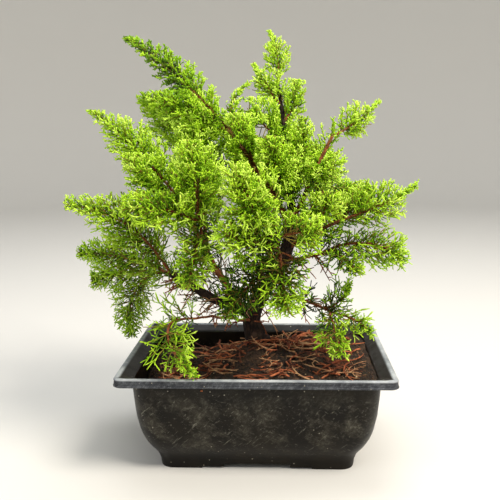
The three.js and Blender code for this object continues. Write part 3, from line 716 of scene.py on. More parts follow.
def give_marks(piece, marks):
    """Stores each vertex's place round and along its limb as a UV map, in centimetres."""
    layer = piece.data.uv_layers.new(name="bark")
    corner = np.empty(len(piece.data.loops), int)
    piece.data.loops.foreach_get("vertex_index", corner)
    layer.data.foreach_set("uv", (marks[corner] / 10).ravel())


def stringy_bark(name, string, relief, crack, body, lifted, pale):
    """Juniper bark: thin fibres peel along the limb, dark in the cracks between them and
    greyer or redder on the lifted flakes.  Matt."""
    material, tree = new_material(name)
    along = add_node(tree, "ShaderNodeUVMap", uv_map="bark")[0]
    drawn = {"Vector": along, "Scale": (10 / string, 1.6, 1)}
    fibres = {"Scale": 1.0, "Detail": 6, "Roughness": 0.72}
    fibres["Vector"] = add_node(tree, "ShaderNodeMapping", drawn)[0]
    fibre = add_node(tree, NOISE, fibres)[0]
    place = add_node(tree, "ShaderNodeTexCoord")["Object"]
    flakes = {"Vector": place, "Scale": 1000 / 7, "Detail": 4, "Roughness": 0.6}
    flake = {"Fac": add_node(tree, NOISE, flakes)[0]}
    tints = [(0.36, crack), (0.5, body), (0.64, lifted)]
    fresh = add_node(tree, RAMP, {"Fac": fibre}, tints)[0]
    weathered = add_node(tree, RAMP, flake, [(0.55, 0.0), (0.68, 0.75)])[0]
    ridges = {"Height": fibre, "Strength": 0.8, "Distance": relief / 1000}
    looks = {
        "Base Color": add_node(tree, MIX, {"Fac": weathered, 1: fresh, 2: pale})[0],
        "Normal": add_node(tree, BUMP, ridges)[0],
        "Roughness": 0.88,
        "IOR": 1.45,
    }
    return surfaced(material, looks)


limbs = trunk_and_boughs()
old_tints = ("#0b0706", "#241611", "#46301f", "#574437")
young_tints = ("#381c10", "#884a26", "#ba7240", "#97704f")
old_bark = stringy_bark("old_juniper_bark", 1.6, 0.9, *old_tints)
young_bark = stringy_bark("young_juniper_bark", 1.2, 0.4, *young_tints)
young_limbs = [row[0] for row in BOUGHS if row[0] != "low_left_bough"]
# The wood's name, its limbs, bark and slot; sides, how rough it is, step from ring to ring.
for name, names, bark, slot, around, relief, step in [
    ("trunk_wood", ["trunk"], old_bark, "old_bark", 48, 0.42, 1.0),
    ("low_left_bough_wood", ["low_left_bough"], old_bark, "old_bark", 32, 0.3, 1.0),
    ("boughs_wood", young_limbs, young_bark, "young_bark", 18, 0.14, 1.2),
]:
    points, faces, marks = joined_limbs(names, around, relief, step)
    wood = mesh_object(name, in_row(points), faces, bark)
    give_marks(wood, marks)
    declare(wood, slot, *names)

# ---------------------------------------------------------------- foliage
# Shoots of a scale-leaf juniper.  Each leaf is a tiny waxy scale pressed to its twig, so
# a twig looks like a blunt green cord: lime where it still grows, deeper green behind,
# and the shoots' older stems are thin, red-brown and woody.
# Name, parent, where it leaves the parent, tip, bow, spread of its shoots.
MASSES = [
    ("leader_tip", "left_leader", 1, (-122, 79, 345), (2, -12, 4), 12),
    ("leader_left", "left_leader", 0.92, (-89, 2, 287), (0, -4, 4), 20),
    ("leader_sprig", "left_leader", 0.86, (-7, 14, 298), (-9, 0, 3), 10),
    ("leader_inner", "left_leader", 0.55, (-16, -28, 268), (2, -6, 0), 21),
    ("leader_back", "back_left_bough", 1, (-105, 78, 290), (0, 0, 4), 18),
    ("shoulder", "left_bough", 1, (-131, -10, 279), (0, -3, 4), 17),
    ("shoulder_front", "left_bough", 0.9, (-93, -45, 241), (0, -5, -1), 18),
    ("left_upright", "left_bough", 0.78, (-48, 0, 286), (2, 2, 0), 22),
    ("left_tip", "low_left_bough", 1, (-145, -49, 207), (10, -6, 13), 21),
    ("left_low", "low_left_bough", 0.94, (-153, 12, 160), (0, 4, 5), 18),
    ("left_under", "low_back_twig", 0.8, (-146, 34, 131), (0, 0, 5), 16),
    ("left_hanging", "low_back_twig", 1, (-121, 68, 72), (-5, 0, 8), 16),
    ("front_left", "front_left_bough", 1, (-92, -68, 206), (0, -6, 3), 20),
    ("front_left_upright", "front_left_bough", 0.88, (-44, -62, 249), (0, -6, 0), 24),
    ("front_left_hanging", "front_left_bough", 0.7, (-46, -80, 152), (0, -8, 6), 16),
    ("front_middle", "front_bough", 1, (-12, -88, 231), (0, -6, 0), 23),
    ("front_inner", "front_bough", 0.75, (-20, -86, 190), (0, -6, 0), 19),
    ("front_right", "front_bough", 0.88, (46, -82, 192), (0, -6, 2), 20),
    ("front_low", "front_bough", 0.45, (22, -74, 133), (0, -8, 8), 21),
    ("front_low_left", "front_bough", 0.25, (-22, -58, 125), (0, -4, 6), 18),
    ("middle_right", "trunk", 0.56, (10, -42, 254), (0, -6, -4), 21),
    ("trunk_right", "trunk", 0.63, (36, -16, 270), (4, -3, -3), 13),
    ("trunk_left", "trunk", 0.76, (-9, 3, 282), (0, -3, -2), 16),
    ("trunk_upper_right", "trunk", 0.84, (32, 20, 300), (3, 0, -2), 11),
    ("trunk_upper_left", "trunk", 0.91, (-3, 32, 314), (0, 0, -2), 12),
    ("trunk_back", "trunk", 0.72, (14, 60, 272), (0, 6, -5), 17),
    ("top", "trunk", 1, (9, 72, 346), (3, -4, 1), 11),
    ("right_high", "right_high_bough", 1, (98, 18, 283), (0, 0, -5), 13),
    ("right_high_front", "right_high_bough", 0.55, (57, -33, 233), (0, -4, 0), 17),
    ("right_inner", "right_bough", 0.4, (55, -50, 214), (0, -5, -3), 18),
    ("right_tip", "right_bough", 1, (122, -22, 218), (0, 0, -3), 21),
    ("right_upright", "right_bough", 0.78, (88, -10, 214), (2, 2, -2), 13),
    ("right_low", "right_low_bough", 1, (111, -32, 163), (0, 0, 5), 21),
    ("right_under", "right_low_bough", 0.85, (76, -42, 155), (0, -3, 3), 14),
    ("low_right", "low_right_twig", 1, (87, -46, 108), (0, 0, 4), 14),
    ("low_right_sprig", "low_right_twig", 0.86, (71, -34, 143), (2, -2, -4), 12),
    ("low_right_hanging", "low_right_twig", 0.94, (62, -63, 98), (0, -4, 5), 13),
    ("low_front_sprig", "low_front_twig", 1, (-44, -78, 84), (-6, -6, 6), 16),
    ("back_middle", "back_bough", 1, (0, 110, 214), (0, 0, -4), 25),
    ("back_high", "back_bough", 0.72, (-14, 72, 256), (0, 8, -4), 23),
    ("back_right", "back_right_bough", 1, (88, 84, 197), (0, 0, -4), 21),
    ("back_right_high", "back_right_bough", 0.75, (48, 60, 246), (0, 6, -4), 18),
    ("back_left", "back_left_bough", 0.6, (-62, 88, 216), (0, 6, -2), 23),
]
# The limbs carry short shoots of their own: from, to, spread of the shoots, spacing.
CLOTHED = [
    ("trunk", 0.5, 0.96, 15, 2.8),
    ("trunk", 0.12, 0.5, 15, 5.0),
    ("left_leader", 0.3, 1, 22, 2.2),
    ("left_bough", 0.42, 1, 20, 2.8),
    ("left_bough", 0.05, 0.42, 18, 3.6),
    ("low_left_bough", 0.75, 1, 15, 2.8),
    ("low_left_bough", 0.06, 0.75, 15, 5.0),
    ("low_back_twig", 0.35, 1, 11, 3.2),
    ("low_right_twig", 0.4, 1, 10, 3.6),
    ("low_front_twig", 0.8, 1, 15, 2.2),
    ("right_high_bough", 0.25, 1, 13, 3.2),
    ("right_bough", 0.3, 1, 14, 3.2),
    ("right_low_bough", 0.45, 1, 12, 3.2),
    ("front_bough", 0.3, 1, 20, 2.6),
    ("front_left_bough", 0.25, 1, 20, 2.6),
    ("back_bough", 0.2, 1, 17, 2.6),
    ("back_right_bough", 0.2, 1, 16, 2.8),
    ("back_left_bough", 0.15, 1, 16, 2.8),
]
GROWTH_SEEDS = 1000
CLOTHED_SEEDS = 200
GOLDEN_ANGLE = 137.5  # from each shoot round its stem to the next
# How far the parts of a shoot lean from what bears them, in degrees, at its root and tip.
SHOOT_LEAN = (66, 34)
BRANCHLET_LEAN = (58, 30)
CORD_LEAN = (50, 34)
OPEN_MASSES = "leader_sprig low_right low_right_sprig low_right_hanging low_front_sprig".split()
SHOOT_SPACING = (11.0, 4.5)  # in a dense mass and in an open one
FEWEST_SHOOTS = 7
# Where the side shoots of a mass shorten, from and to, and the share left at its tip.
ROUNDED = (0.42, 0.96, 0.4)
BLUNT = (0.34, 0.92, 0.28)
SLENDER = (0.26, 0.86, 0.1)
CLOTHED_TAPER = (0.42, 0.96, 0.75)
LEADER_BACK = 0.62  # how far before the tip of a mass its last shoot starts, in spreads
BLUNT_MASSES = "leader_tip leader_left shoulder left_tip left_low right_low".split()
SLENDER_MASSES = (
    "leader_sprig top trunk_upper_left right_high right_tip low_right low_right_sprig"
    " low_front_sprig"
).split()
SMALLEST = 0.5  # share of their length that the cords of the smallest shoots have
FINE_SPACING = (1.15, 2.4)  # of the finer shoots that fill in between
FINE_REACH = 0.9  # and how far they reach, as a share of the others
FINE_SEEDS = 100
STEM = slice(0, 108, 8)  # the points of a mass's line, of 121, that its woody stem takes
AXIS_STEP = 24  # and from point to point of the axis of a shoot
STEM_RADIUS = (1.15, 0.5)  # of a stem at its root and at its tip
SHOOT_RADIUS = (0.5, 0.36)
# Of crowded young growth and of the looser, longer growth low on the tree.
BRANCHLET_SPACING = (1.75, 4.0)
CORD_SPACING = (1.3, 3.4)
CORD_RADIUS = (0.56, 0.47)
CORD_LENGTH = ((2.6, 4.8), (5.5, 11.5))
CORD_ROOT = 0.8  # a cord is this thick at its root, as a share of its thickest,
CORD_SHOULDER = 0.86  # which is this far along it; from there it narrows to its tip
LOOSE_BELOW = (235, 150)  # heights between which the growth turns from crowded to loose
AXIS_SHARE = 0.86  # the cords reach on past the end of a shoot's axis
PAST_NODE = 2.0  # how far a cord may pass the box of its mass's CAD node
LIFT = 0.12  # how far a growing tip turns up towards the light
EASE = 4.0  # a mass's stem leaves its bough's tip in a bend about this deep
CLEAR_OF_RIM = 1.5
# How bright a cord's green is: by how near its shoot's tip it grows and by the shoot's
# own tone.  Painted shade deepens it close round the trunk, where the growth is older too,
# on the loose growth low on the tree and high on the leader.
YOUTH = 0.05
TIP_SHARE = 0.62
TONE_SHARE = 0.38
INNER_AGE_AND_SHADE = 0.64
INNER_MIDDLE = (5, 5)
INNER_REACH = (85, 40)
INNER_HEIGHT = (225, 165)
LOOSE_SHADE = 0.14
LEADER_SHADE = 0.36
LEADER_HEIGHT = (275, 300)
LEADER_SIDE = (-40, -60)
# The growth is parted here, so that the wood shows: limb or mass, from, to, half width.
PARTED = [
    ("trunk", 0.36, 0.45, 6.5),
    ("trunk", 0.84, 0.95, 2.6),
    ("left_leader", 0.3, 0.42, 2.4),
    ("left_leader", 0.55, 0.8, 2.8),
    ("left_leader", 0.9, 1, 2.4),
    ("left_upright", 0.1, 0.4, 1.8),
    ("shoulder", 0.1, 0.35, 1.8),
    ("front_left", 0.1, 0.3, 1.4),
    ("right_high_bough", 0.7, 1, 2.0),
    ("right_high", 0.2, 0.4, 1.6),
    ("right_bough", 0.7, 0.95, 2.2),
    ("right_tip", 0.15, 0.4, 1.8),
    ("right_low", 0.15, 0.3, 1.8),
    ("left_tip", 0.2, 0.4, 1.6),
    ("leader_tip", 0.1, 0.3, 1.6),
]
FACED = np.array([19.0, -572.0, 260.0])  # each parting opens towards here, in front
# The crown is open right through here: middle, half width.
SKY = [
    ((4, 0, 261), 7.5),
    ((-8, 10, 280), 4.5),
    ((-4, 20, 293), 3.8),
    ((41, 25, 288), 4.0),
    ((92, 10, 262), 6.0),
]
SKY_DEPTH = 300  # how far back the open places reach
RAGGED = (0.7, 1.15)  # how far the edge of a parting strays, as a share of its width
RAGGED_SEED = 7
MOST_CORDS = 19000  # in one piece, at ten triangles a cord


def seeded_row(seed):
    """A repeatable row of numbers from 0 to 1, one row for each seed."""
    state = seed * 2654435761 & 0xFFFFFFFF
    while True:
        state = state + 0x6D2B79F5 & 0xFFFFFFFF
        t = (state ^ state >> 15) * (state | 1) & 0xFFFFFFFF
        t ^= t + ((t ^ t >> 7) * (t | 61) & 0xFFFFFFFF) & 0xFFFFFFFF
        yield (t ^ t >> 14) / 4294967296


def plume_reach(t, taper):
    """How far side shoots reach: full in a mass's lower part, short towards its leader."""
    start, end, at_tip = taper
    return mix(0.7, 1, smoothstep(0, 0.3, t)) * mix(1, at_tip, smoothstep(start, end, t))


def turned(vector, axis, angle):
    """A vector turned about an axis."""
    c, s = math.cos(angle), math.sin(angle)
    return vector * c + np.cross(axis, vector) * s + axis * axis.dot(vector) * (1 - c)


def shoots_of(line, spread, spacing, seed, taper):
    """The shoots of one mass, by the rule that places the sprays of its CAD node."""
    random = seeded_row(seed)
    count = max(FEWEST_SHOOTS, round(line_length(line) / spacing))
    for i in range(count):
        t = mix(0.14, 0.97, i / (count - 1))
        ahead = ahead_on(line, t)
        side = unit(np.cross([0, 0, 1], ahead))
        turn = GOLDEN_ANGLE * i + 40 * next(random) + 70 * seed
        lean = math.radians(mix(*SHOOT_LEAN, t) + 12 * (next(random) - 0.5))
        out = turned(side, ahead, math.radians(turn))
        heading = unit(ahead * math.cos(lean) + out * math.sin(lean))
        length = spread * plume_reach(t, taper) * mix(1.35, 1.75, next(random))
        yield place_on(line, t), heading, length, 2 * math.pi * next(random), 1.0


def clear_of_pot(point):
    """Whether a place lies beside the pot or clear above its rim."""
    half_x, half_y = POT_LENGTH / 2 + 2 * CLEAR_OF_RIM, POT_WIDTH / 2 + 2 * CLEAR_OF_RIM
    beside = abs(point[0]) >= half_x or abs(point[1]) >= half_y
    return beside or point[2] > pot_height + CLEAR_OF_RIM


def grow_shoot(root, heading, length, roll, full, random, cords, stems):
    """One shoot: a curved axis with branchlets on alternate sides, each set with cords.
    A cord is (root, direction, length, radius, how near the shoot's tip it grows)."""
    length *= AXIS_SHARE
    tip = root + heading * length + np.array([0, 0, LIFT * length])
    if not clear_of_pot(tip):
        return
    loose = float(smoothstep(*LOOSE_BELOW, root[2]))
    small = mix(SMALLEST, 1, float(smoothstep(4, 15, length * full)))
    sag = np.array([0.03 * heading[1], -0.03 * heading[0], -0.03]) * length
    axis = bowed(root, tip, sag)[::AXIS_STEP]
    side = turned(unit(np.cross(heading, [0.01, 0, 1])), heading, roll)
    stems.append((axis, *SHOOT_RADIUS))
    count = max(4, int(length * 0.9 / mix(*BRANCHLET_SPACING, loose)))
    for i in range(count):
        t = mix(0.08, 0.98, i / (count - 1))
        ahead = ahead_on(axis, t)
        spin = i * (math.pi + 0.5) + 1.1 * (next(random) - 0.5)
        out = turned(unit(side - ahead * side.dot(ahead)), ahead, spin)
        lean = math.radians(mix(*BRANCHLET_LEAN, t) + 16 * (next(random) - 0.5))
        fullness = full * mix(0.75, 1, math.sin(math.pi * min(1, t * 1.25))) * mix(1, 0.45, t)
        reach = max(2.8 * small, 0.4 * length * fullness * mix(0.75, 1.2, next(random)))
        direction = unit(ahead * math.cos(lean) + out * math.sin(lean) + [0, 0, 0.14])
        root = place_on(axis, t)
        grow_branchlet(root, direction, reach, ahead, t, loose, small, random, cords)
    end, ahead = place_on(axis, 0.94), ahead_on(axis, 1)
    grow_branchlet(end, ahead, 0.1 * length + 2, side, 1.0, loose, small, random, cords)


def grow_branchlet(start, direction, reach, toward, along, loose, small, random, cords):
    """A branchlet: its own cord in two bent lengths, and short cords on alternate sides."""
    toward = unit(toward - direction * toward.dot(direction) + [1e-6, 0, 0])
    middle = start + direction * reach * 0.5
    onward = unit(direction + 0.28 * toward * next(random) + np.array([0, 0, 0.1]))
    radius = mix(*CORD_RADIUS, loose)
    cords.append((start, direction, reach * 0.56, radius * 0.92, along * 0.7))
    cords.append((middle, onward, reach * 0.5, radius, mix(along, 1, 0.5)))
    count = max(2, int(reach / mix(*CORD_SPACING, loose)))
    shortest, longest = mix(np.array(CORD_LENGTH[0]), np.array(CORD_LENGTH[1]), loose)
    for j in range(count):
        s = mix(0.14, 0.86, j / (count - 1))
        base = start + direction * reach * s if s < 0.5 else middle + onward * reach * (s - 0.5)
        out = turned(toward, direction, j * math.pi + 1.7 * (next(random) - 0.5))
        lean = math.radians(mix(*CORD_LEAN, s) + 14 * (next(random) - 0.5))
        heading = direction * math.cos(lean) + out * math.sin(lean) + np.array([0, 0, 0.1])
        length = mix(shortest, longest, next(random)) * mix(1, 0.7, s) * small
        thick = radius * mix(0.9, 1.05, next(random))
        cords.append((base, unit(heading), length, thick, mix(along, 1, 0.35 * s)))


def cord_mesh(cords):
    """Points and faces of blunt three-sided cords: a root, a shoulder and a tip each."""
    root, ahead = np.array([c[0] for c in cords]), np.array([c[1] for c in cords])
    length, radius = np.array([c[2] for c in cords]), np.array([c[3] for c in cords])
    helper = np.where(np.abs(ahead[:, 2:]) > 0.8, [[1.0, 0, 0]], [[0, 0, 1.0]])
    side = unit(np.cross(ahead, helper))
    across = np.cross(ahead, side)
    points = np.empty((len(cords), 7, 3))
    for k in range(3):
        angle = 2 * math.pi * k / 3
        spoke = side * math.cos(angle) + across * math.sin(angle)
        points[:, k] = root + spoke * (radius * CORD_ROOT)[:, None]
        shoulder = root + ahead * (length * CORD_SHOULDER)[:, None]
        points[:, 3 + k] = shoulder + spoke * radius[:, None]
    points[:, 6] = root + ahead * length[:, None]
    one = [(2, 1, 0)]
    for k in range(3):
        n = (k + 1) % 3
        one += [(k, n, 3 + n), (k, 3 + n, 3 + k), (3 + k, 3 + n, 6)]
    starts = 7 * np.arange(len(cords))
    faces = (np.array(one)[None] + starts[:, None, None]).reshape(-1, 3)
    return points.reshape(-1, 3), faces


def array_object(name, points, triangles, material):
    """A mesh object straight from arrays, for pieces of many thousand triangles."""
    mesh = bpy.data.meshes.new(name)
    mesh.vertices.add(len(points))
    mesh.vertices.foreach_set("co", points.astype(np.float32).ravel())
    mesh.loops.add(3 * len(triangles))
    mesh.loops.foreach_set("vertex_index", triangles.astype(np.int32).ravel())
    mesh.polygons.add(len(triangles))
    mesh.polygons.foreach_set("loop_start", np.arange(0, 3 * len(triangles), 3, dtype=np.int32))
    mesh.update(calc_edges=True)
    mesh.validate()
    return placed(name, mesh, material)


def tube_mesh(stems, sides):
    """Points and triangles of tapering tubes along lines, pointed at their tips."""
    points, triangles, count = [], [], 0
    for line, root, end in stems:
        side, across = square_frames(line)
        n = len(line)
        radius = np.linspace(root, end, n)[:, None]
        for k in range(sides):
            angle = 2 * math.pi * k / sides
            spoke = side * math.cos(angle) + across * math.sin(angle)
            points.append(line[:, :3] + radius * spoke)
        for k in range(sides):
            a = count + k * n + np.arange(n - 1)
            b = count + (k + 1) % sides * n + np.arange(n - 1)
            triangles += [np.stack([a, b, b + 1], 1), np.stack([a, b + 1, a + 1], 1)]
        fan = [(0, (k + 1) * n, k * n) for k in range(1, sides - 1)]
        far = [(n - 1, k * n + n - 1, (k + 1) * n + n - 1) for k in range(1, sides - 1)]
        triangles.append(count + np.array(fan + far))
        count += sides * n
    return np.vstack(points), np.vstack(triangles)


def juniper_green(name, colour, gloss=0.5):
    """Fresh scale leaves: waxy, so softly shiny, in one plain green for each age
    and depth of painted shade.
    """
    looks = {"Base Color": colour, "Roughness": gloss, "Specular IOR Level": 0.22}
    return surfaced(new_material(name)[0], looks)


def within(points, box):
    """Which points, in millimetres, lie inside a box or a little past it."""
    low, high = [(np.array(corner) - POT_MIDDLE) * 1000 for corner in box]
    return ((points > low - PAST_NODE) & (points < high + PAST_NODE)).all(axis=1)


def grow_all(rows, box, random):
    """Grows shoots, and keeps the cords and the lengths of stem that end inside a box."""
    for row in rows:
        cords, stems = [], []
        grow_shoot(*row, random, cords, stems)
        tips = np.array([c[0] + c[1] * c[2] for c in cords]).reshape(-1, 3)
        cords = [cord for cord, kept in zip(cords, within(tips, box)) if kept]
        all_cords.extend(cords)
        tones.extend([next(random)] * len(cords))
        for line, root_radius, tip_radius in stems:
            kept = int(np.argmin(np.append(within(line, box), False)))
            if kept > 1:
                shoot_stems.append((line[:kept], root_radius, tip_radius))


def parted(points):
    """Which points lie where the growth is parted or the crown is open, ragged at the
    edges: each opening is a round passage that faces the same place in front."""
    openings = [(np.array(place), half_width, -SKY_DEPTH) for place, half_width in SKY]
    for name, first, last, half_width in PARTED:
        for place in place_on(limbs[name], np.linspace(first, last, 30))[:, :3]:
            openings.append((place, half_width, 0))
    found = np.zeros(len(points), bool)
    ragged = np.random.default_rng(RAGGED_SEED).uniform(*RAGGED, len(points))
    for place, half_width, behind in openings:
        towards = unit(FACED - place)
        outward = (points - place) @ towards
        aside = np.linalg.norm(points - place - outward[:, None] * towards, axis=1)
        found |= (outward > behind) & (aside < half_width * ragged)
    return found


# The growth: a coarse and a fine set of shoots on each mass, then those of the limbs.
pot_height = (pot_high.z - pot_low.z) * 1000
all_cords, shoot_stems, mass_stems, tones = [], [], [], []
for number, (name, parent, along, tip, bow, spread) in enumerate(MASSES, 1):
    start = place_on(limbs[parent], along)[:3]
    if along == 1:  # the stem carries on from its bough's tip before it turns
        bow = np.array(bow) + EASE * ahead_on(limbs[parent], 1.0)
    line = bowed(start, tip, bow)
    limbs[name] = line
    mass_stems.append((line[STEM], *STEM_RADIUS))
    open_growth = name in OPEN_MASSES
    taper = SLENDER if name in SLENDER_MASSES else BLUNT if name in BLUNT_MASSES else ROUNDED
    rows = list(shoots_of(line, spread, SHOOT_SPACING[open_growth], number, taper))
    fine = spread * FINE_REACH
    end = place_on(line, 1 - min(0.5, LEADER_BACK * spread / line_length(line)))
    rows.append((end, ahead_on(line, 1), fine, float(number), max(0.2, taper[2])))
    rows += shoots_of(line, fine, FINE_SPACING[open_growth], FINE_SEEDS + number, taper)
    grow_all(rows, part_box(name), seeded_row(GROWTH_SEEDS + number))
for number, (limb, first, last, spread, spacing) in enumerate(CLOTHED):
    line = place_on(limbs[limb], np.linspace(first, last, 60))[:, :3]
    seed = CLOTHED_SEEDS + number
    rows = shoots_of(line, spread, spacing, seed, CLOTHED_TAPER)
    grow_all(rows, cad_bounds, seeded_row(GROWTH_SEEDS + seed))

# The greens, deepened by age and by painted shade, and how bright the cords of each are at most.
GREENS = [
    ("shaded_green", "#34530a", 0.14),
    ("old_green", "#618c10", 0.33),
    ("mid_green", "#8dbb16", 0.54),
    ("fresh_green", "#b2da2c", 0.77),
    ("lime_tips", "#ccec56", 2.0),
]
DEEP_BELOW = 0.5  # the greens up to this are old, shaded growth
age = np.array([c[4] for c in all_cords])
roots = np.array([c[0] for c in all_cords])
from_trunk = np.hypot(roots[:, 0] - INNER_MIDDLE[0], roots[:, 1] - INNER_MIDDLE[1])
inner = smoothstep(*INNER_REACH, from_trunk) * smoothstep(*INNER_HEIGHT, roots[:, 2])
leader = smoothstep(*LEADER_HEIGHT, roots[:, 2]) * smoothstep(*LEADER_SIDE, roots[:, 0])
# Painted shade deepens the green close round the trunk, on loose low growth and high on the
# leader.
light = YOUTH + TIP_SHARE * age + TONE_SHARE * np.array(tones) - INNER_AGE_AND_SHADE * inner
light -= LOOSE_SHADE * smoothstep(*LOOSE_BELOW, roots[:, 2])
light -= LEADER_SHADE * leader
keep = np.array([clear_of_pot(c[0] + c[1] * c[2]) for c in all_cords])
keep &= ~parted(np.array([c[0] + 0.5 * c[1] * c[2] for c in all_cords]))
gone = parted(np.array([line[len(line) // 2] for line, _, _ in shoot_stems]))
shoot_stems = [stem for stem, cut in zip(shoot_stems, gone) if not cut]
lowest = -2.0  # under any cord's
for name, colour, limit in GREENS:
    chosen = np.flatnonzero(keep & (light > lowest) & (light <= limit))
    lowest = limit
    material = juniper_green(name, colour)
    slot = "foliage_deep" if limit < DEEP_BELOW else "foliage_bright"
    parts = math.ceil(len(chosen) / MOST_CORDS)
    for part in range(parts):
        points, triangles = cord_mesh([all_cords[k] for k in chosen[part::parts]])
        piece = array_object(f"foliage_{name}_{part + 1}", in_row(points), triangles, material)
        declare(piece, slot, *[row[0] for row in MASSES])

# The wood of the masses, and the thin ripening stems of their shoots.
points, triangles = tube_mesh(mass_stems, 7)
declare(array_object("woody_shoots", in_row(points), triangles, young_bark), "young_bark")
points, triangles = tube_mesh(shoot_stems, 3)
ripening = juniper_green("ripening_shoot", "#8a7a30", 0.7)
declare(array_object("shoot_stems", in_row(points), triangles, ripening), "young_bark")

# ---------------------------------------------------------------- dead twigs and litter
# Shaded twigs die back under the crown and drop on the soil.  They are thin, crooked and
# rust-brown, still set with the spurs of their dead scale leaves.
DEAD_ON = [
    # limb, from and to along it, how many, longest, how far they hang
    ("low_left_bough", 0.04, 0.95, 26, 30, 0.15),
    ("trunk", 0.06, 0.32, 26, 34, 0.3),
    ("left_bough", 0.05, 0.6, 12, 30, 0.1),
    ("front_bough", 0.1, 0.8, 14, 30, 0.6),
    ("low_right_twig", 0.1, 0.9, 8, 22, 0.5),
    ("right_low_bough", 0.1, 0.7, 8, 26, 0.3),
    ("low_back_twig", 0.1, 0.9, 8, 26, 0.5),
    ("low_front_twig", 0.1, 0.8, 6, 18, 0.6),
    ("back_bough", 0.05, 0.6, 8, 30, 0.3),
]
DEAD_SEED = 500
PALE_SHARE = 0.45  # of the twigs have dried out pale
DEAD_RADIUS = (0.68, 0.4)  # of a dead twig at its root and at its tip
DEAD_SPURS = 3
LITTER_RADIUS = (0.95, 0.5)
LITTER_SPUR_RADIUS = (0.5, 0.35)
LITTER_SEEDS = 60
# Fallen twigs: length, how far one curls from end to end, how crooked it is, spurs.
LITTER = [(23, 0.3, 0.7, 3), (22, -0.9, 0.5, 3), (38, 1.7, 0.16, 1), (34, -1.2, 0.2, 2)]
UP = np.array([0.0, 0.0, 1.0])


def crooked(start, heading, length, random, sag=0.0, pieces=5, stray=0.7, curl=0.0):
    """A crooked line that wanders off its heading, curls about the vertical and sags."""
    line = [np.array(start, float)]
    ahead = np.array(heading, float)
    for _ in range(pieces):
        aside = np.array([next(random) - 0.5 for _ in range(3)])
        ahead = unit(turned(ahead, UP, curl / pieces) + stray * aside - 0.25 * sag * UP)
        line.append(line[-1] + ahead * length / pieces)
    return np.array(line)


def dead_twig(start, heading, length, random, sag, tubes):
    """A dead twig and its spurs, as tubes of line, root and tip radius."""
    line = crooked(start, heading, length, random, sag, stray=0.36)
    tubes.append((line, *DEAD_RADIUS))
    for k in range(DEAD_SPURS):
        t = mix(0.25, 0.95, (k + next(random)) / DEAD_SPURS)
        ahead = ahead_on(line, t)
        out = unit(np.cross(ahead, [next(random) - 0.5, next(random) - 0.5, 0.6]))
        spur = unit(ahead * 0.8 + out * (1 if k % 2 else -1))
        reach = length * mix(0.14, 0.34, next(random))
        spur_line = crooked(place_on(line, t), spur, reach, random, sag, 2)
        tubes.append((spur_line, DEAD_RADIUS[1] * 1.2, DEAD_RADIUS[1] * 0.8))


# Dead juniper twigs: dry and matt, rust-brown, paler where the bark has dried out.
rust_bark = spotted("dead_juniper_rust", 8, (0.4, "#793a20"), (0.62, "#bf7047"), 0.85, 1.4)
pale_bark = spotted("dead_juniper_pale", 8, (0.4, "#96694a"), (0.62, "#c79b70"), 0.85, 1.4)
dark_bark = spotted("dead_juniper_dark", 8, (0.4, "#3f2117"), (0.62, "#7d452a"), 0.85, 1.4)
random = seeded_row(DEAD_SEED)
rust_tubes, pale_tubes = [], []
for limb, first, last, many, longest, hang in DEAD_ON:
    line = limbs[limb]
    for _ in range(many):
        t = mix(first, last, next(random))
        ahead = ahead_on(line, t)
        out = unit(turned(unit(np.cross(ahead, [0, 0, 1])), ahead, math.tau * next(random)))
        heading = unit(mix(-0.3, 1.7, next(random)) * ahead + out - 0.5 * hang * UP)
        length = mix(0.45, 1, next(random)) * longest
        start = place_on(line, t)[:3]
        tubes = pale_tubes if next(random) < PALE_SHARE else rust_tubes
        if (start + heading * length)[2] > MOUND_TOP - 2:  # it clears the soil
            dead_twig(start, heading, length, random, hang, tubes)
for name, tubes, bark in [("rust", rust_tubes, rust_bark), ("pale", pale_tubes, pale_bark)]:
    points, triangles = tube_mesh(tubes, 4)
    piece = array_object(f"dead_twigs_{name}", in_row(points), triangles, bark)
    declare(piece, "young_bark")


def litter_strand(name, seed, length, curl, stray, spurs):
    """One fallen twig lying along X, in metres."""
    random = seeded_row(seed)
    line = crooked([0, 0, 0], [1, 0, 0.05], length, random, 0, 7, stray, curl)
    tubes = [(line - line.mean(axis=0), *LITTER_RADIUS)]
    for k in range(spurs):
        t = mix(0.2, 0.9, (k + next(random)) / spurs)
        ahead = ahead_on(line, t)
        spur = unit(ahead * 0.8 + np.cross(ahead, UP) * (0.9 if k % 2 else -0.9))
        root = place_on(tubes[0][0], t)
        spur_line = crooked(root, spur, 0.2 * length, random, 0, 2)
        tubes.append((spur_line, *LITTER_SPUR_RADIUS))
    points, triangles = tube_mesh(tubes, 3)
    points = points * [1, 1, 0.75] * 0.001
    return array_object(name, points, triangles, rust_bark)


strands = [
    litter_strand(f"fallen_twig_{k}", LITTER_SEEDS + k, *look) for k, look in enumerate(LITTER)
]
# Each strand's bark, and how many of it lie to a square metre, one kind over the next.
strewn = [(rust_bark, 11000.0), (dark_bark, 11000.0), (rust_bark, 7000.0), (pale_bark, 4500.0)]
for k, (bark, many) in enumerate(strewn):
    scatter(
        f"twig_litter_{k + 1}", 0.86, strands[k], bark,
        density=many, smallest=0.45, largest=1.25, tip=0.16, sink=0.0006 + 0.0007 * k,
        patch=0.1, seed=20 + k,
    )

# ---------------------------------------------------------------- studio
# A pale seamless sweep, a large soft key from the upper right, a fill and a top light.
FOCAL_LENGTH = 51.3
CAMERA_PLACE = (19.3, -572.5, 259.8)
CAMERA_PITCH, CAMERA_YAW, CAMERA_ROLL = 9.41, -2.54, -0.45
SWEEP_RADIUS = 2.6
SWEEP_BEND = 0.6  # radius of the bend between the floor and the wall
SWEEP_HEIGHT = 2.4
SWEEP_SIDES = 64
AIR_COLOUR, AIR_STRENGTH = "#eef1f4", 0.55
CROWN_HEIGHT = 0.2


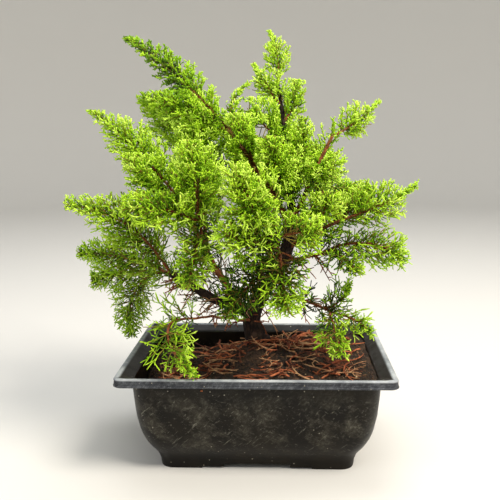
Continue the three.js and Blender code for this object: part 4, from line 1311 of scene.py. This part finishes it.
def sweep():
    """A round floor that curves up into a wall on every side."""
    flat = SWEEP_RADIUS - SWEEP_BEND
    profile = [(0.001, 0), (1.2, 0), (flat, 0)]
    for angle in np.linspace(0, math.pi / 2, 9)[1:]:
        profile.append((flat + SWEEP_BEND * math.sin(angle), SWEEP_BEND * (1 - math.cos(angle))))
    profile.append((SWEEP_RADIUS, SWEEP_HEIGHT))
    turn = np.linspace(0, 2 * math.pi, SWEEP_SIDES, endpoint=False)
    points = [(r * math.cos(a), r * math.sin(a), z) for r, z in profile for a in turn]
    faces = loft_faces(len(profile), SWEEP_SIDES)[:-2] + [tuple(range(SWEEP_SIDES))]
    looks = {"Base Color": "#d9d7d2", "Roughness": 0.85}
    paint = surfaced(new_material("painted_floor")[0], looks)
    return mesh_object("studio_sweep", points, faces, paint)


sweep()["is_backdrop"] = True
crown = Vector((POT_MIDDLE[0], POT_MIDDLE[1], CROWN_HEIGHT))
# Each lamp's name, place, size, power and colour; they all face the crown.
for name, place, size, power, colour in [
    ("key", (0.7, -0.6, 1.2), 0.6, 25, "#fff8ec"),
    ("fill", (-1.1, -0.9, 0.8), 1.3, 5, "#f2f6ff"),
    ("top", (0.0, 0.35, 1.6), 1.2, 14, "#ffffff"),
]:
    lamp = bpy.data.lights.new(name, "AREA")
    lamp.shape = "DISK"
    lamp.size = size
    lamp.energy = power
    lamp.color = linear(colour)[:3]
    light_object = bpy.data.objects.new(name, lamp)
    light_object.location = place
    light_object.rotation_euler = (crown - Vector(place)).to_track_quat("-Z", "Y").to_euler()
    bpy.context.scene.collection.objects.link(light_object)
world = bpy.data.worlds.new("studio_air")
bpy.context.scene.world = world
world.use_nodes = True
air = world.node_tree.nodes["Background"].inputs
air["Color"].default_value = linear(AIR_COLOUR)
air["Strength"].default_value = AIR_STRENGTH
bpy.context.scene.view_settings.view_transform = "Standard"

pitch, yaw, roll = (math.radians(a) for a in (CAMERA_PITCH, CAMERA_YAW, CAMERA_ROLL))
look = Vector((math.sin(yaw) * math.cos(pitch), math.cos(yaw) * math.cos(pitch), -math.sin(pitch)))
right = Vector((math.cos(yaw), -math.sin(yaw), 0))
above = right.cross(look)
level = Matrix((right, above, -look)).transposed()
turn = level @ Matrix.Rotation(roll, 3, "Z")
camera_data = bpy.data.cameras.new("camera")
camera_data.sensor_width = 36
camera_data.lens = FOCAL_LENGTH
camera_data.clip_start = 0.01
camera = bpy.data.objects.new("camera", camera_data)
camera.matrix_world = Matrix.Translation(Vector(in_row(CAMERA_PLACE))) @ turn.to_4x4()
bpy.context.scene.collection.objects.link(camera)
bpy.context.scene.camera = camera

# The shapes that were strewn have done their work, and the two boxes are gathered.
for helper in (bark_bit, peat_crumb, *strands):
    bpy.data.objects.remove(helper)
boxes = {"cad": cad_bounds, "visual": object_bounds()}
{key: [list(corner) for corner in box] for key, box in boxes.items()}
